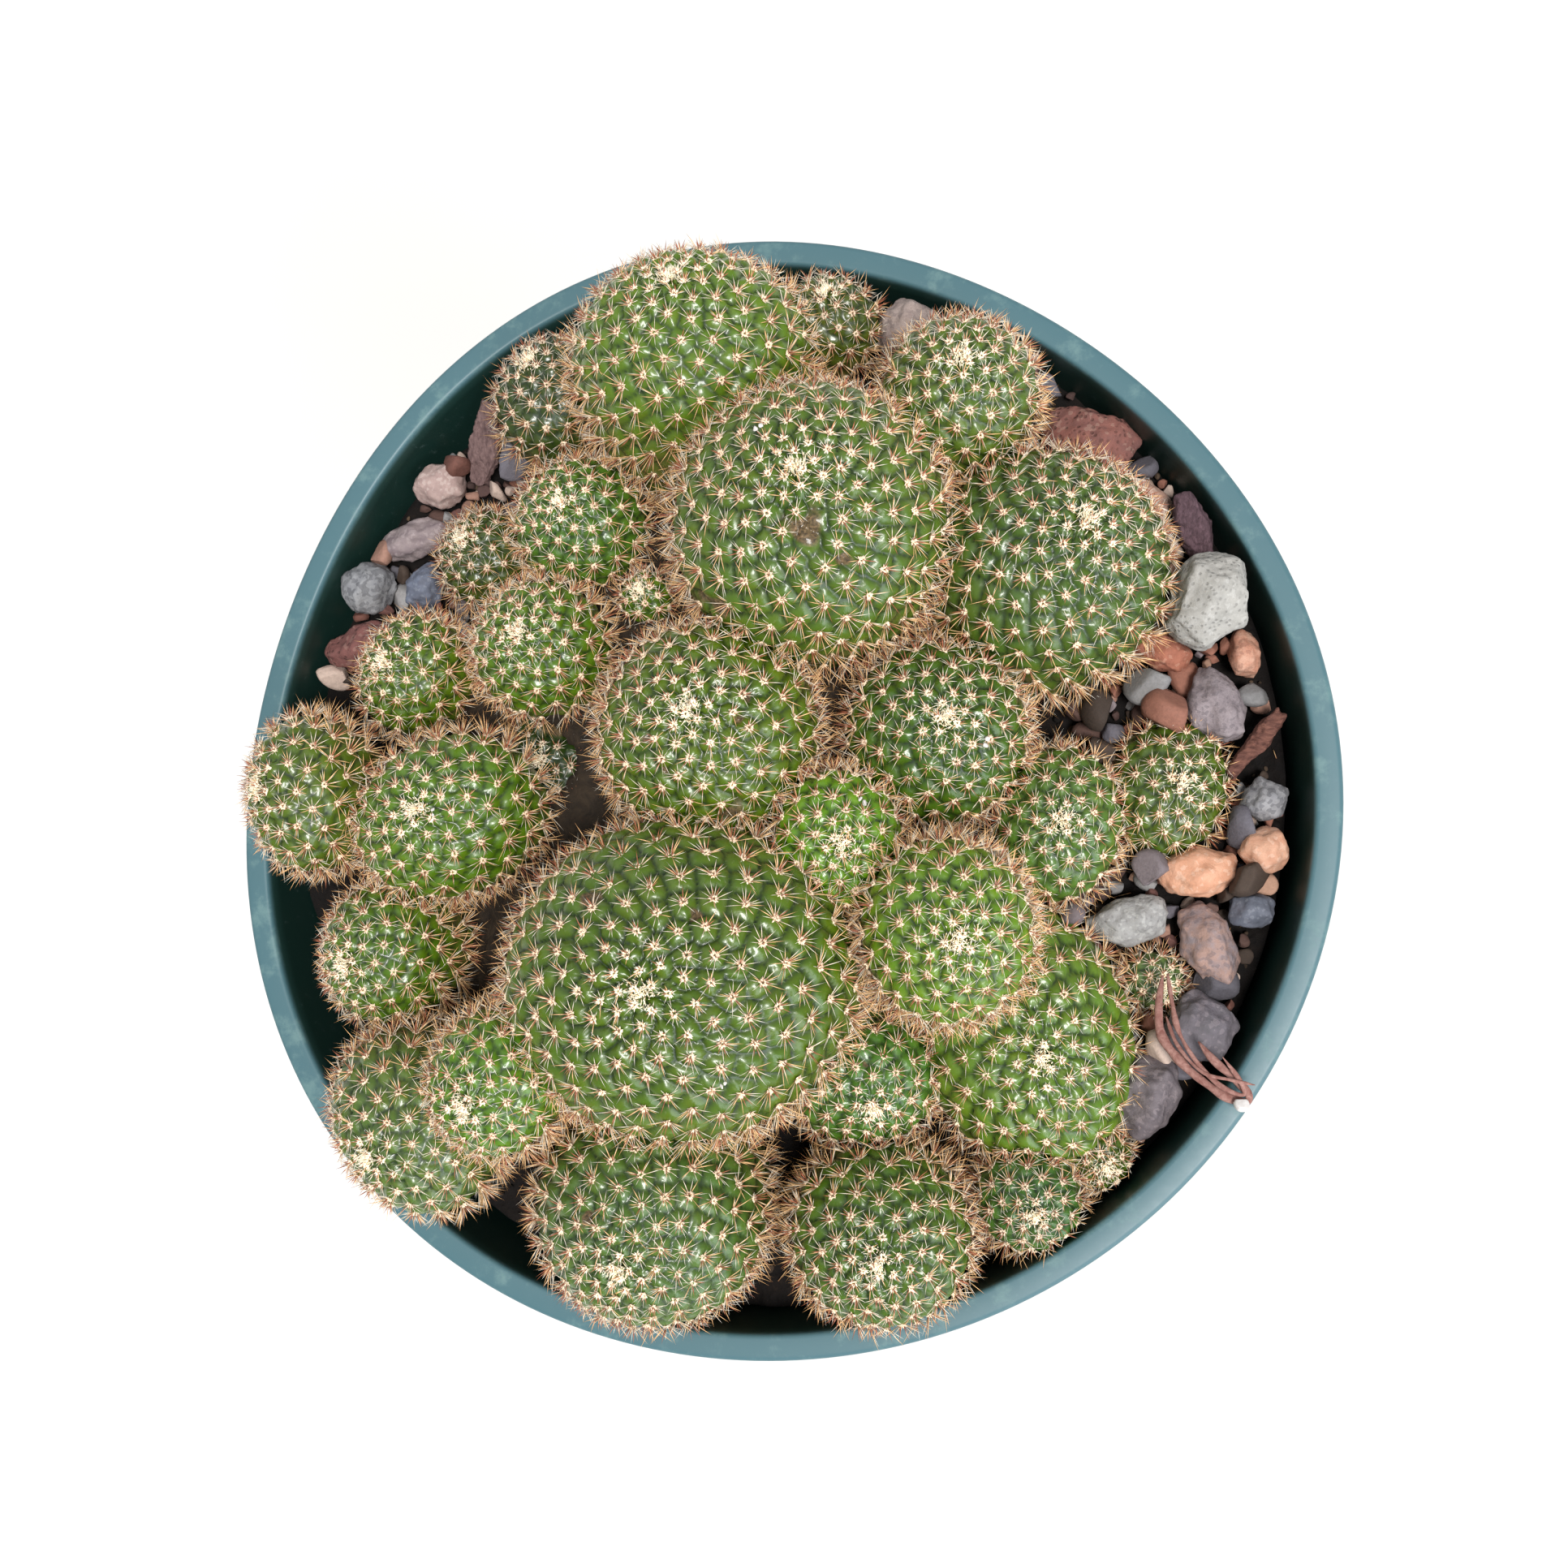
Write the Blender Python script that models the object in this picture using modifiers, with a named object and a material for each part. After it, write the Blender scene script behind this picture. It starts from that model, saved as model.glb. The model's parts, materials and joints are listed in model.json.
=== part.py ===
"""A potted round cactus: a clump of small globular heads that fills a round nursery pot.

The origin is the middle of the pot's underside, +Z up. The heads grow from one woody root crown,
whose taproot sits in the potting mix, and the mix carries stones and bark chips where the clump
leaves it bare. Every piece keeps a small gap to its neighbours, so that each is its own solid.
"""
import math
import random

import bmesh
import bpy
import numpy as np
from mathutils import Matrix, Vector

# ---- Driving dimensions, in metres unless said otherwise ----
RIM_DIAMETER = 0.102
POT_HEIGHT = 0.078
BASE_DIAMETER = 0.078
WALL = 0.0012
FLOOR = 0.0016
LIP_WIDTH = 0.0024
LIP_DEPTH = 0.0055
LIP_ROUND = 0.0007
FOOT_CHAMFER = 0.0012
DRAIN_HOLES = 5
DRAIN_DIAMETER = 0.007
DRAIN_REACH = 0.024

MIX_BELOW_RIM = 0.0065
# The gap between pieces, and the slightly wider one that loose pieces are pushed apart to
GAP = 0.0003
CLEARANCE = 0.00035

# The clump stands a little off the pot's axis. A head is a ball down to the tangent angle (degrees
# from its apex), then a cone that narrows to a neck, a share of the head's radius, which is sunk
# in the crown or in the mix.
CLUMP_OFFSET = (-0.0049, -0.0010)
HEAD_GROWTH = 1.0
NECK_SHARE = 0.35
SINK = 0.0024
TANGENT_ANGLE = 122
YOUNG_HEIGHT = 0.018

CROWN_RADIUS = 0.030
CROWN_RISE = 0.0085
CROWN_EDGE = 0.0034
TAPROOT_DIAMETER = 0.016
TAPROOT_TIP = 0.006
TAPROOT_LENGTH = 0.030

FIBRE_DIAMETER = 0.0007

# Steps round each turned shape, and the rings that round a head's ball and the pot's lip
POT_STEPS = 64
CROWN_STEPS = 40
HEAD_STEPS = 12
HEAD_RINGS = 6
LIP_RINGS = 3
HOLE_STEPS = 16
SKIN_STEPS = 24

# Each head: bearing from the clump's middle (degrees from +X), reach as a share of the mouth's
# radius, height of its centre over the rim (mm), width (mm), and lean outwards (degrees).
HEADS = {
    # the high heads round the middle
    "head_01": (60, 0.14, 7.0, 17.8, 5),
    "head_02": (65, 0.54, 7.0, 22.2, 10),
    "head_03": (-92, 0.36, 8.0, 25.0, 4),
    "head_04": (14, 0.47, 2.6, 14.8, 12),
    "head_05": (-23, 0.32, 7.5, 10.2, 12),
    "head_06": (-28, 0.56, 7.0, 13.4, 14),
    # the far side
    "head_07": (91, 0.80, 3.6, 18.6, 30),
    "head_08": (113, 0.87, -0.6, 10.0, 26),
    "head_09": (60, 0.88, 2.6, 12.8, 14),
    "head_10": (76, 0.98, 0.0, 8.0, 22),
    "head_11": (102, 0.73, -4.0, 6.8, 10),
    # the left side
    "head_12": (115, 0.59, 0.0, 11.8, 8),
    "head_13": (135, 0.70, -3.6, 9.0, 20),
    "head_14": (137, 0.41, 3.0, 11.8, 6),
    "head_15": (106, 0.40, 0.5, 4.8, 5),
    "head_16": (157, 0.65, -0.6, 9.8, 16),
    "head_17": (180, 0.75, 5.0, 10.6, 30),
    "head_18": (-175, 0.46, 4.4, 13.6, 4),
    "head_19": (168, 0.31, -2.0, 8.6, 4),
    "head_20": (-153, 0.67, 2.0, 11.6, 22),
    # the near side
    "head_21": (-121, 0.62, 8.0, 11.0, 20),
    "head_22": (-128, 0.84, 2.4, 13.2, 28),
    "head_23": (-95, 0.77, 2.0, 19.0, 24),
    "head_24": (-58, 0.62, 0.6, 11.2, 28),
    "head_25": (-65, 0.86, 1.2, 14.6, 12),
    "head_26": (-49, 0.95, -1.2, 8.6, 15),
    # the right side, lower towards the stones
    "head_27": (31, 0.81, 0.0, 19.8, 24),
    "head_28": (-2, 0.72, -2.4, 10.6, 6),
    "head_29": (3, 0.89, -4.0, 9.8, 14),
    "head_30": (-33, 0.80, -1.6, 17.6, 15),
    "head_31": (-22, 0.94, -4.2, 5.0, 22),
    "head_32": (-39, 0.99, -3.8, 5.6, 22),
}

# Each stone: bearing from the pot's axis (degrees), reach as a share of the mouth's radius,
# length, width and height (mm), turn of its long side (degrees) and colour. Stones on a bed of
# finer grit are lifted over the mix (mm).
STONE_LIFTS = {"stone_pumice": 2.2, "stone_pink_grey": 1.8, "stone_tan_upper": 1.2, "stone_shard": 0.8}
STONES = {
    "stone_pink_grey": (66, 0.95, 8.0, 6.6, 6.4, 128, (0.34, 0.25, 0.23)),
    "stone_lava_flat": (47, 0.92, 9.6, 6.2, 4.8, -25, (0.30, 0.13, 0.11)),
    "stone_pale_pink": (33, 0.94, 5.2, 3.2, 3.4, -45, (0.50, 0.32, 0.26)),
    "stone_pumice": (20.5, 0.93, 8.8, 7.4, 7.6, 60, (0.38, 0.36, 0.33)),
    "stone_brick": (18, 0.88, 5.6, 3.8, 3.8, -30, (0.34, 0.16, 0.11)),
    "stone_shard": (11, 0.88, 7.4, 5.0, 4.4, 115, (0.23, 0.19, 0.20)),
    "stone_tan_north": (14, 0.99, 4.6, 3.0, 3.8, 100, (0.50, 0.26, 0.18)),
    "stone_speckled_right": (-2, 0.98, 4.4, 4.0, 4.2, 20, (0.34, 0.33, 0.34)),
    "stone_tan_upper": (-6.5, 0.95, 4.4, 4.0, 4.2, 0, (0.55, 0.33, 0.23)),
    "stone_tan_broad": (-10.5, 0.91, 7.2, 4.8, 5.0, 8, (0.58, 0.34, 0.23)),
    "stone_grey_pale": (-15, 0.79, 7.2, 4.4, 4.4, 10, (0.36, 0.35, 0.34)),
    "stone_slate": (-17.5, 0.95, 4.2, 3.2, 3.6, 5, (0.16, 0.17, 0.21)),
    "stone_two_tone": (-22, 0.915, 8.2, 4.6, 4.8, 115, (0.36, 0.23, 0.21)),
    "stone_dark_upper": (-29, 0.93, 6.4, 5.6, 5.4, 60, (0.17, 0.15, 0.17)),
    "stone_dark_lower": (-34.5, 0.955, 7.6, 5.4, 5.6, 75, (0.19, 0.16, 0.17)),
    "stone_pink_left": (138.5, 0.93, 5.2, 4.6, 4.8, 10, (0.47, 0.34, 0.31)),
    "stone_mauve_left": (143, 0.885, 7.4, 3.6, 4.0, 15, (0.31, 0.25, 0.25)),
    "stone_speckled_left": (152, 0.945, 5.8, 5.6, 5.4, 30, (0.31, 0.31, 0.32)),
    "stone_slate_left": (147.5, 0.86, 5.2, 4.0, 4.2, 80, (0.17, 0.19, 0.25)),
    "stone_lava_left": (158, 0.89, 8.8, 4.6, 4.4, 15, (0.24, 0.10, 0.09)),
}

# Each bark chip: bearing, reach, length, width, thickness, turn, pitch of its long side (degrees),
# height of its middle over the mix (mm) and colour.
BARK_CHIPS = {
    "bark_chip_north": (58, 0.955, 6.0, 3.4, 1.6, 60, 22, 3.4, (0.20, 0.10, 0.11)),
    "bark_chip_east": (34, 1.0, 6.6, 3.4, 1.8, 110, 24, 3.8, (0.13, 0.08, 0.11)),
    "bark_stick": (1.5, 0.965, 7.4, 2.2, 1.8, 52, 10, 3.2, (0.17, 0.06, 0.06)),
    "bark_chip_left": (132, 0.93, 8.8, 3.8, 1.6, 75, 20, 3.4, (0.21, 0.13, 0.14)),
}

# The dried root's route: bearing from the pot's axis, reach (mm) beyond the mouth's radius, and
# height over the rim (mm). It leaves the clump, crosses the lip, turns and comes back.
FIBRE_ROUTE = [
    (-24.0, -8.6, -0.4), (-27.5, -7.8, 0.0), (-30.4, -6.4, 0.4), (-31.8, -3.8, 0.8),
    (-32.2, -1.6, 1.0), (-32.2, 0.6, 1.1), (-31.6, 2.2, 0.9), (-30.8, 1.9, 0.9),
    (-30.3, 0.2, 1.2), (-29.7, -2.0, 1.3), (-28.9, -3.6, 0.9),
]
FIBRE_POINTS = 36

# How loose pieces find their places: rounds of pushing apart, the share of a push that is taken
# in a round, the share of the way back to its planned place that a piece is drawn in the first
# rounds, and how high over the mix a head's middle stays, as a share of its radius
SETTLE_ROUNDS = 500
DRAWN_ROUNDS = 250
PUSH_SHARE = 0.3
DRAW_SHARE = 0.06
LEAST_RISE = 0.4

# Scattered points in a stone's hull, and how far in from its ellipsoid they may lie
STONE_POINTS = 26
STONE_ROUGHNESS = 0.14

# ---- Sizes that follow from them ----
MM = 0.001
RIM_RADIUS = RIM_DIAMETER / 2
BASE_RADIUS = BASE_DIAMETER / 2
MOUTH_RADIUS = RIM_RADIUS - LIP_WIDTH
MIX_TOP = POT_HEIGHT - MIX_BELOW_RIM
MIX_BOTTOM = FLOOR + GAP
CROWN_BOTTOM = MIX_TOP + GAP
CLUMP_CENTRE = Vector((CLUMP_OFFSET[0], CLUMP_OFFSET[1], 0))
CONE_TIP = 1 / -math.cos(math.radians(TANGENT_ANGLE))
CONE_SLOPE = math.tan(math.radians(180 - TANGENT_ANGLE)) ** -1
CONE_END = CONE_TIP - NECK_SHARE / CONE_SLOPE

COLOURS = {
    "pot": (0.045, 0.115, 0.105),
    "mix": (0.050, 0.032, 0.022),
    "crown": (0.110, 0.070, 0.040),
    "flesh_young": (0.130, 0.300, 0.050),
    "flesh_old": (0.090, 0.170, 0.050),
    "fibre": (0.300, 0.140, 0.110),
}


def inner_radius(height):
    """The pot's inner radius at a height: straight from the floor to the mouth."""
    base = BASE_RADIUS - WALL
    share = (height - FLOOR) / (POT_HEIGHT - FLOOR)
    return base + (MOUTH_RADIUS - base) * share


def crown_height(reach):
    """Height of the root crown's upper face over the mix, at a reach from the clump's middle."""
    share = min(1.0, reach / CROWN_RADIUS)
    return CROWN_EDGE + (CROWN_RISE - CROWN_EDGE) * (1 - share ** 2)


def ground_height(point, spread):
    """What a loose piece of this spread rests on: the root crown where it reaches over it, or mix."""
    nearest = math.hypot(point[0] - CLUMP_CENTRE.x, point[1] - CLUMP_CENTRE.y) - spread
    if nearest < CROWN_RADIUS + GAP:
        return CROWN_BOTTOM + crown_height(max(0.0, nearest))
    return MIX_TOP


# ---- Building helpers ----
def new_collection(name):
    collection = bpy.data.collections.new(name)
    bpy.context.scene.collection.children.link(collection)
    return collection


def new_material(name, colour, roughness):
    material = bpy.data.materials.new(name)
    material.use_nodes = True
    shader = material.node_tree.nodes["Principled BSDF"]
    shader.inputs["Base Color"].default_value = (*colour, 1)
    shader.inputs["Roughness"].default_value = roughness
    shader.inputs["Metallic"].default_value = 0
    return material


def add_piece(name, mesh, collection, colour=None, roughness=0.6):
    """Put a mesh in the model as a named piece with its own material."""
    mesh.name = name
    piece = bpy.data.objects.new(name, mesh)
    collection.objects.link(piece)
    if colour:
        mesh.materials.append(new_material(name, colour, roughness))
    mesh.shade_smooth()
    mesh.set_sharp_from_angle(angle=math.radians(40))
    return piece


def add_cutter(name, mesh, collection):
    cutter = add_piece(name, mesh, collection)
    cutter.hide_render = True
    cutter.display_type = "WIRE"
    return cutter


def cut(piece, name, cutters):
    """Take every cutter in a collection away from a piece."""
    boolean = piece.modifiers.new(name, "BOOLEAN")
    boolean.operation = "DIFFERENCE"
    boolean.solver = "EXACT"
    boolean.operand_type = "COLLECTION"
    boolean.collection = cutters


def turned(name, profile, steps, collection, colour=None, roughness=0.6):
    """Turn a profile of (radius, height) points about Z; it runs down its outer side."""
    mesh = bpy.data.meshes.new(name)
    points = [(radius, 0, height) for radius, height in profile]
    mesh.from_pydata(points, [(i, i + 1) for i in range(len(points) - 1)], [])
    if colour:
        piece = add_piece(name, mesh, collection, colour, roughness)
    else:
        piece = add_cutter(name, mesh, collection)
    screw = piece.modifiers.new("Turn", "SCREW")
    screw.axis = "Z"
    screw.steps = steps
    screw.render_steps = steps
    screw.use_merge_vertices = True
    screw.merge_threshold = 0.00001
    screw.use_smooth_shade = True
    return piece


def arc(centre, radius, start, end, count):
    """Points on a round edge, from one angle to another in degrees."""
    angles = [math.radians(start + (end - start) * i / count) for i in range(count + 1)]
    return [(centre[0] + radius * math.cos(a), centre[1] + radius * math.sin(a)) for a in angles]


# ---- The pot and what fills it ----
def build_pot(collection, cutters):
    lip_under = POT_HEIGHT - LIP_DEPTH
    inside = [(0, FLOOR), (BASE_RADIUS - WALL, FLOOR)]
    top_in = arc((MOUTH_RADIUS + LIP_ROUND, POT_HEIGHT - LIP_ROUND), LIP_ROUND, 180, 90, LIP_RINGS)
    top_out = arc((RIM_RADIUS - LIP_ROUND, POT_HEIGHT - LIP_ROUND), LIP_ROUND, 90, 0, LIP_RINGS)
    outside = [
        (RIM_RADIUS, lip_under),
        (inner_radius(lip_under) + WALL, lip_under),
        (BASE_RADIUS, FOOT_CHAMFER),
        (BASE_RADIUS - FOOT_CHAMFER, 0),
        (0, 0),
    ]
    profile = inside + top_in + top_out + outside
    pot = turned("nursery_pot", profile, POT_STEPS, collection, COLOURS["pot"], 0.45)
    for i in range(DRAIN_HOLES):
        angle = 2 * math.pi * i / DRAIN_HOLES
        hole = bmesh.new()
        middle = (DRAIN_REACH * math.cos(angle), DRAIN_REACH * math.sin(angle), FLOOR / 2)
        bmesh.ops.create_cone(
            hole, cap_ends=True, segments=HOLE_STEPS, radius1=DRAIN_DIAMETER / 2,
            radius2=DRAIN_DIAMETER / 2, depth=4 * FLOOR, matrix=Matrix.Translation(middle),
        )
        mesh = bpy.data.meshes.new("drain_hole")
        hole.to_mesh(mesh)
        hole.free()
        add_cutter(f"drain_hole_{i + 1}", mesh, cutters)
    cut(pot, "Drainage", cutters)
    return pot


def build_mix(collection):
    profile = [
        (0, MIX_TOP),
        (inner_radius(MIX_TOP) - GAP, MIX_TOP),
        (inner_radius(MIX_BOTTOM) - GAP, MIX_BOTTOM),
        (0, MIX_BOTTOM),
    ]
    return turned("potting_mix", profile, POT_STEPS, collection, COLOURS["mix"], 0.95)


def crown_profile(spare):
    """The woody crown with its taproot, grown all round by the spare where the mix is cut for it."""
    top = [
        (CROWN_RADIUS * share, CROWN_BOTTOM + crown_height(CROWN_RADIUS * share))
        for share in (0, 0.2, 0.4, 0.6, 0.8, 0.93)
    ]
    root = TAPROOT_DIAMETER / 2
    collar = [(CROWN_RADIUS, CROWN_BOTTOM + CROWN_EDGE * 0.6), (CROWN_RADIUS, CROWN_BOTTOM)]
    tip = MIX_TOP - TAPROOT_LENGTH - spare
    below = [(root + spare, CROWN_BOTTOM), (TAPROOT_TIP / 2 + spare, tip), (0, tip)]
    if spare:
        return [(0, CROWN_BOTTOM)] + below
    return top + collar + below


def build_crown(collection, cutters):
    crown = turned("root_crown", crown_profile(0), CROWN_STEPS, collection, COLOURS["crown"], 0.85)
    socket = turned("taproot_socket", crown_profile(GAP), CROWN_STEPS, cutters)
    crown.location = CLUMP_CENTRE
    socket.location = CLUMP_CENTRE
    return crown


# ---- Keeping pieces apart ----
def wall_push(point, radius):
    """How far a ball has to move, as (outwards, upwards), to clear the pot's wall and lip."""
    reach = math.hypot(point[0], point[1])
    if point[2] < POT_HEIGHT:
        over = reach + radius + CLEARANCE - inner_radius(point[2])
        return (-over, 0.0) if over > 0 and reach < RIM_RADIUS else (0.0, 0.0)
    nearest = min(max(reach, MOUTH_RADIUS), RIM_RADIUS)
    away = (reach - nearest, point[2] - POT_HEIGHT)
    distance = math.hypot(*away)
    over = radius + CLEARANCE - distance
    if over <= 0:
        return (0.0, 0.0)
    if distance < 1e-6:
        return (0.0, over)
    return (away[0] / distance * over, away[1] / distance * over)


def settle(planned, places, balls, free, lowest):
    """Push pieces made of balls apart until they keep their clearance; returns their new places.

    places are the pieces' origins, which are first drawn towards the planned ones. balls holds,
    for each piece, its (offset, radius) pairs, free says how far each piece moves along each
    axis, and lowest is the least height of each.
    """
    planned, places = np.array(planned, dtype=float), np.array(places, dtype=float)
    lowest = np.array(lowest, dtype=float)
    owner = np.array([i for i, own in enumerate(balls) for _ in own])
    offsets = np.array([offset for own in balls for offset, _ in own], dtype=float)
    radii = np.array([radius for own in balls for _, radius in own])
    free = np.array(free, dtype=float)
    needed = radii[:, None] + radii[None] + CLEARANCE
    apart = owner[:, None] != owner[None]
    for turn in range(SETTLE_ROUNDS):
        if turn < DRAWN_ROUNDS:
            places += (planned - places) * (free > 0) * DRAW_SHARE
        points = places[owner] + offsets
        away = points[:, None] - points[None]
        distance = np.linalg.norm(away, axis=2) + 1e-9
        over = np.where(apart, np.maximum(0, needed - distance), 0)
        push = (away / distance[..., None] * over[..., None]).sum(axis=1)
        moves = np.zeros_like(places)
        np.add.at(moves, owner, push)
        for ball, (point, radius) in enumerate(zip(points, radii)):
            outwards, upwards = wall_push(point, radius)
            if outwards or upwards:
                side = np.array([point[0], point[1], 0]) / (math.hypot(point[0], point[1]) + 1e-9)
                moves[owner[ball]] += side * outwards + np.array([0, 0, upwards])
        if turn >= DRAWN_ROUNDS and np.abs(moves * free).max() < 1e-7:
            break
        places += moves * free * PUSH_SHARE
        places[:, 2] = np.maximum(places[:, 2], lowest)
    return places


# ---- Heads ----
def head_axis(bearing, lean):
    bearing, lean = math.radians(bearing), math.radians(lean)
    flat = math.sin(lean)
    return Vector((flat * math.cos(bearing), flat * math.sin(bearing), math.cos(lean)))


def neck_length(centre, axis, radius):
    """From a head's centre down its axis to its foot, which is sunk in the crown or in the mix."""
    length = radius
    while length < 6 * radius:
        foot = centre - axis * length
        reach = math.hypot(foot.x - CLUMP_CENTRE.x, foot.y - CLUMP_CENTRE.y)
        ground = CROWN_BOTTOM + crown_height(reach) if reach < CROWN_RADIUS else MIX_TOP
        if foot.z < ground - SINK:
            break
        length += 0.0002
    return max(length, 1.05 * radius)


def head_balls(axis, radius, length):
    """Balls that hold a head and its neck, as offsets from the head's centre."""
    balls, depth = [], 0.0
    while depth < length:
        wide = max(radius - depth / CONE_TIP, radius * NECK_SHARE * 1.06)
        balls.append((-axis * depth, wide))
        depth += wide * 0.45
    return balls


def head_profile(radius, length, spare):
    """Half outline of a head: a ball that narrows along a tangent cone to a short round neck."""
    ball = radius + spare
    polar = [math.radians(TANGENT_ANGLE * i / HEAD_RINGS) for i in range(HEAD_RINGS + 1)]
    points = [(ball * math.sin(a), ball * math.cos(a)) for a in polar]
    points[0] = (0, ball)
    foot = length + spare
    if length > CONE_END * radius * 1.08:
        neck = NECK_SHARE * radius + spare
        points.append((neck, -CONE_END * radius))
        points.append((neck, -foot))
    else:
        points.append(((CONE_TIP * radius - length) * CONE_SLOPE + spare, -foot))
    points.append((0, -foot))
    return points


def plan_heads():
    """Centres, axes and radii of the heads before they are pushed clear of each other."""
    plans = []
    for name, (bearing, reach, height, width, lean) in HEADS.items():
        angle = math.radians(bearing)
        flat = Vector((math.cos(angle), math.sin(angle), 0)) * reach * MOUTH_RADIUS
        centre = CLUMP_CENTRE + flat + Vector((0, 0, POT_HEIGHT + height * MM))
        plans.append((name, centre, head_axis(bearing, lean), width * MM * HEAD_GROWTH / 2))
    return plans


def inside_crown(point):
    reach = math.hypot(point.x - CLUMP_CENTRE.x, point.y - CLUMP_CENTRE.y)
    return reach < CROWN_RADIUS + GAP and point.z < CROWN_BOTTOM + crown_height(reach) + GAP


def surface_points(outline, centre, turn):
    """Points all over a turned shape, closely enough spaced to tell what it reaches into."""
    points = []
    for (radius, height), (next_radius, next_height) in zip(outline, outline[1:]):
        for share in (0, 0.33, 0.67):
            flat = radius + (next_radius - radius) * share
            level = height + (next_height - height) * share
            for i in range(SKIN_STEPS):
                around = 2 * math.pi * i / SKIN_STEPS
                skin = Vector((flat * math.cos(around), flat * math.sin(around), level))
                points.append(centre + turn @ skin)
    return points


def build_heads(heads, collection, crown_cutters, mix_cutters):
    for name, centre, axis, radius in heads:
        length = neck_length(centre, axis, radius)
        height = max(0.0, min(1.0, (centre.z - MIX_TOP) / YOUNG_HEIGHT))
        old, young = Vector(COLOURS["flesh_old"]), Vector(COLOURS["flesh_young"])
        colour = tuple(old.lerp(young, height))
        turn = axis.to_track_quat("Z", "Y")
        piece = turned(name, head_profile(radius, length, 0), HEAD_STEPS, collection, colour, 0.5)
        piece.location = centre
        piece.rotation_mode = "QUATERNION"
        piece.rotation_quaternion = turn
        outline = head_profile(radius, length, GAP)
        skin = surface_points(outline, centre, turn)
        in_crown = any(inside_crown(point) for point in skin)
        in_mix = any(point.z < MIX_TOP for point in skin)
        for wanted, cutters in ((in_crown, crown_cutters), (in_mix, mix_cutters)):
            if wanted:
                socket = turned(f"socket_{name}_{cutters.name}", outline, HEAD_STEPS, cutters)
                socket.location = centre
                socket.rotation_mode = "QUATERNION"
                socket.rotation_quaternion = turn


# ---- Stones, bark and the dried root ----
def stone_mesh(name, half, turn):
    """An angular stone: the hull of scattered points on an ellipsoid of these half sizes."""
    scatter = random.Random(name)
    shape = bmesh.new()
    for i in range(STONE_POINTS):
        height = 1 - 2 * (i + 0.5) / STONE_POINTS
        around = math.pi * (1 + math.sqrt(5)) * i + scatter.uniform(-0.5, 0.5)
        flat = math.sqrt(1 - height ** 2)
        size = scatter.uniform(1 - STONE_ROUGHNESS, 1)
        point = (flat * math.cos(around), flat * math.sin(around), height)
        shape.verts.new([size * p * h for p, h in zip(point, half)])
    hull = bmesh.ops.convex_hull(shape, input=shape.verts)
    spare = {*hull["geom_interior"], *hull["geom_unused"]}
    bmesh.ops.delete(shape, geom=list(spare), context="VERTS")
    for axis, size in enumerate(half):
        low = min(vert.co[axis] for vert in shape.verts)
        high = max(vert.co[axis] for vert in shape.verts)
        for vert in shape.verts:
            vert.co[axis] = (2 * (vert.co[axis] - low) / (high - low) - 1) * size
    bmesh.ops.rotate(shape, cent=(0, 0, 0), matrix=Matrix.Rotation(turn, 3, "Z"), verts=shape.verts)
    mesh = bpy.data.meshes.new(name)
    shape.to_mesh(mesh)
    shape.free()
    return mesh


def chip_mesh(name, half, turn, pitch):
    """A torn bark chip: a thin slab with uneven corners, tipped along its length."""
    scatter = random.Random(name)
    shape = bmesh.new()
    bmesh.ops.create_cube(shape, size=2)
    bmesh.ops.subdivide_edges(shape, edges=shape.edges, cuts=1, use_grid_fill=True)
    for vert in shape.verts:
        taper = 1 - 0.45 * abs(vert.co.x) - 0.12 * abs(vert.co.z)
        vert.co.y *= taper * scatter.uniform(0.8, 1.0)
        vert.co.x *= scatter.uniform(0.85, 1.0)
        vert.co.z *= scatter.uniform(0.7, 1.0)
        vert.co = [c * h for c, h in zip(vert.co, half)]
    bmesh.ops.triangulate(shape, faces=shape.faces)
    tip = Matrix.Rotation(turn, 3, "Z") @ Matrix.Rotation(-pitch, 3, "Y")
    bmesh.ops.rotate(shape, cent=(0, 0, 0), matrix=tip, verts=shape.verts)
    mesh = bpy.data.meshes.new(name)
    shape.to_mesh(mesh)
    shape.free()
    return mesh


def row_of_balls(half, direction):
    """Balls along the long side of a stone or a chip, as wide as it is."""
    length, width = half[0], max(half[1], half[2])
    run = max(0.0, length - width)
    count = max(1, math.ceil(2 * run / width) + 1)
    steps = [0.0] if count == 1 else [run * (2 * i / (count - 1) - 1) for i in range(count)]
    return [(direction * step, width) for step in steps]


def plan_litter():
    """Mesh, place, balls, spread, lift over the ground and colour of each stone and bark chip."""
    plans = []
    for name, (bearing, reach, length, width, height, turn, colour) in STONES.items():
        half = (length * MM / 2, width * MM / 2, height * MM / 2)
        turn = math.radians(turn)
        mesh = stone_mesh(name, half, turn)
        balls = row_of_balls(half, Vector((math.cos(turn), math.sin(turn), 0)))
        rest = height * MM / 2 + STONE_LIFTS.get(name, 0) * MM
        plans.append((mesh, bearing, reach, rest, balls, colour))
    for name, chip in BARK_CHIPS.items():
        bearing, reach, length, width, thick, turn, pitch, height, colour = chip
        half = (length * MM / 2, width * MM / 2, thick * MM / 2)
        turn, pitch = math.radians(turn), math.radians(pitch)
        mesh = chip_mesh(name, half, turn, pitch)
        flat = math.cos(pitch)
        direction = Vector((math.cos(turn) * flat, math.sin(turn) * flat, math.sin(pitch)))
        plans.append((mesh, bearing, reach, height * MM, row_of_balls(half, direction), colour))
    litter = []
    for mesh, bearing, reach, height, balls, colour in plans:
        angle, flat = math.radians(bearing), reach * MOUTH_RADIUS
        lift = max(height, GAP - min(vert.co.z for vert in mesh.vertices))
        spread = max(math.hypot(vert.co.x, vert.co.y) for vert in mesh.vertices)
        place = Vector((flat * math.cos(angle), flat * math.sin(angle), MIX_TOP + lift))
        litter.append((mesh, place, balls, spread, lift, colour))
    return litter


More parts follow.
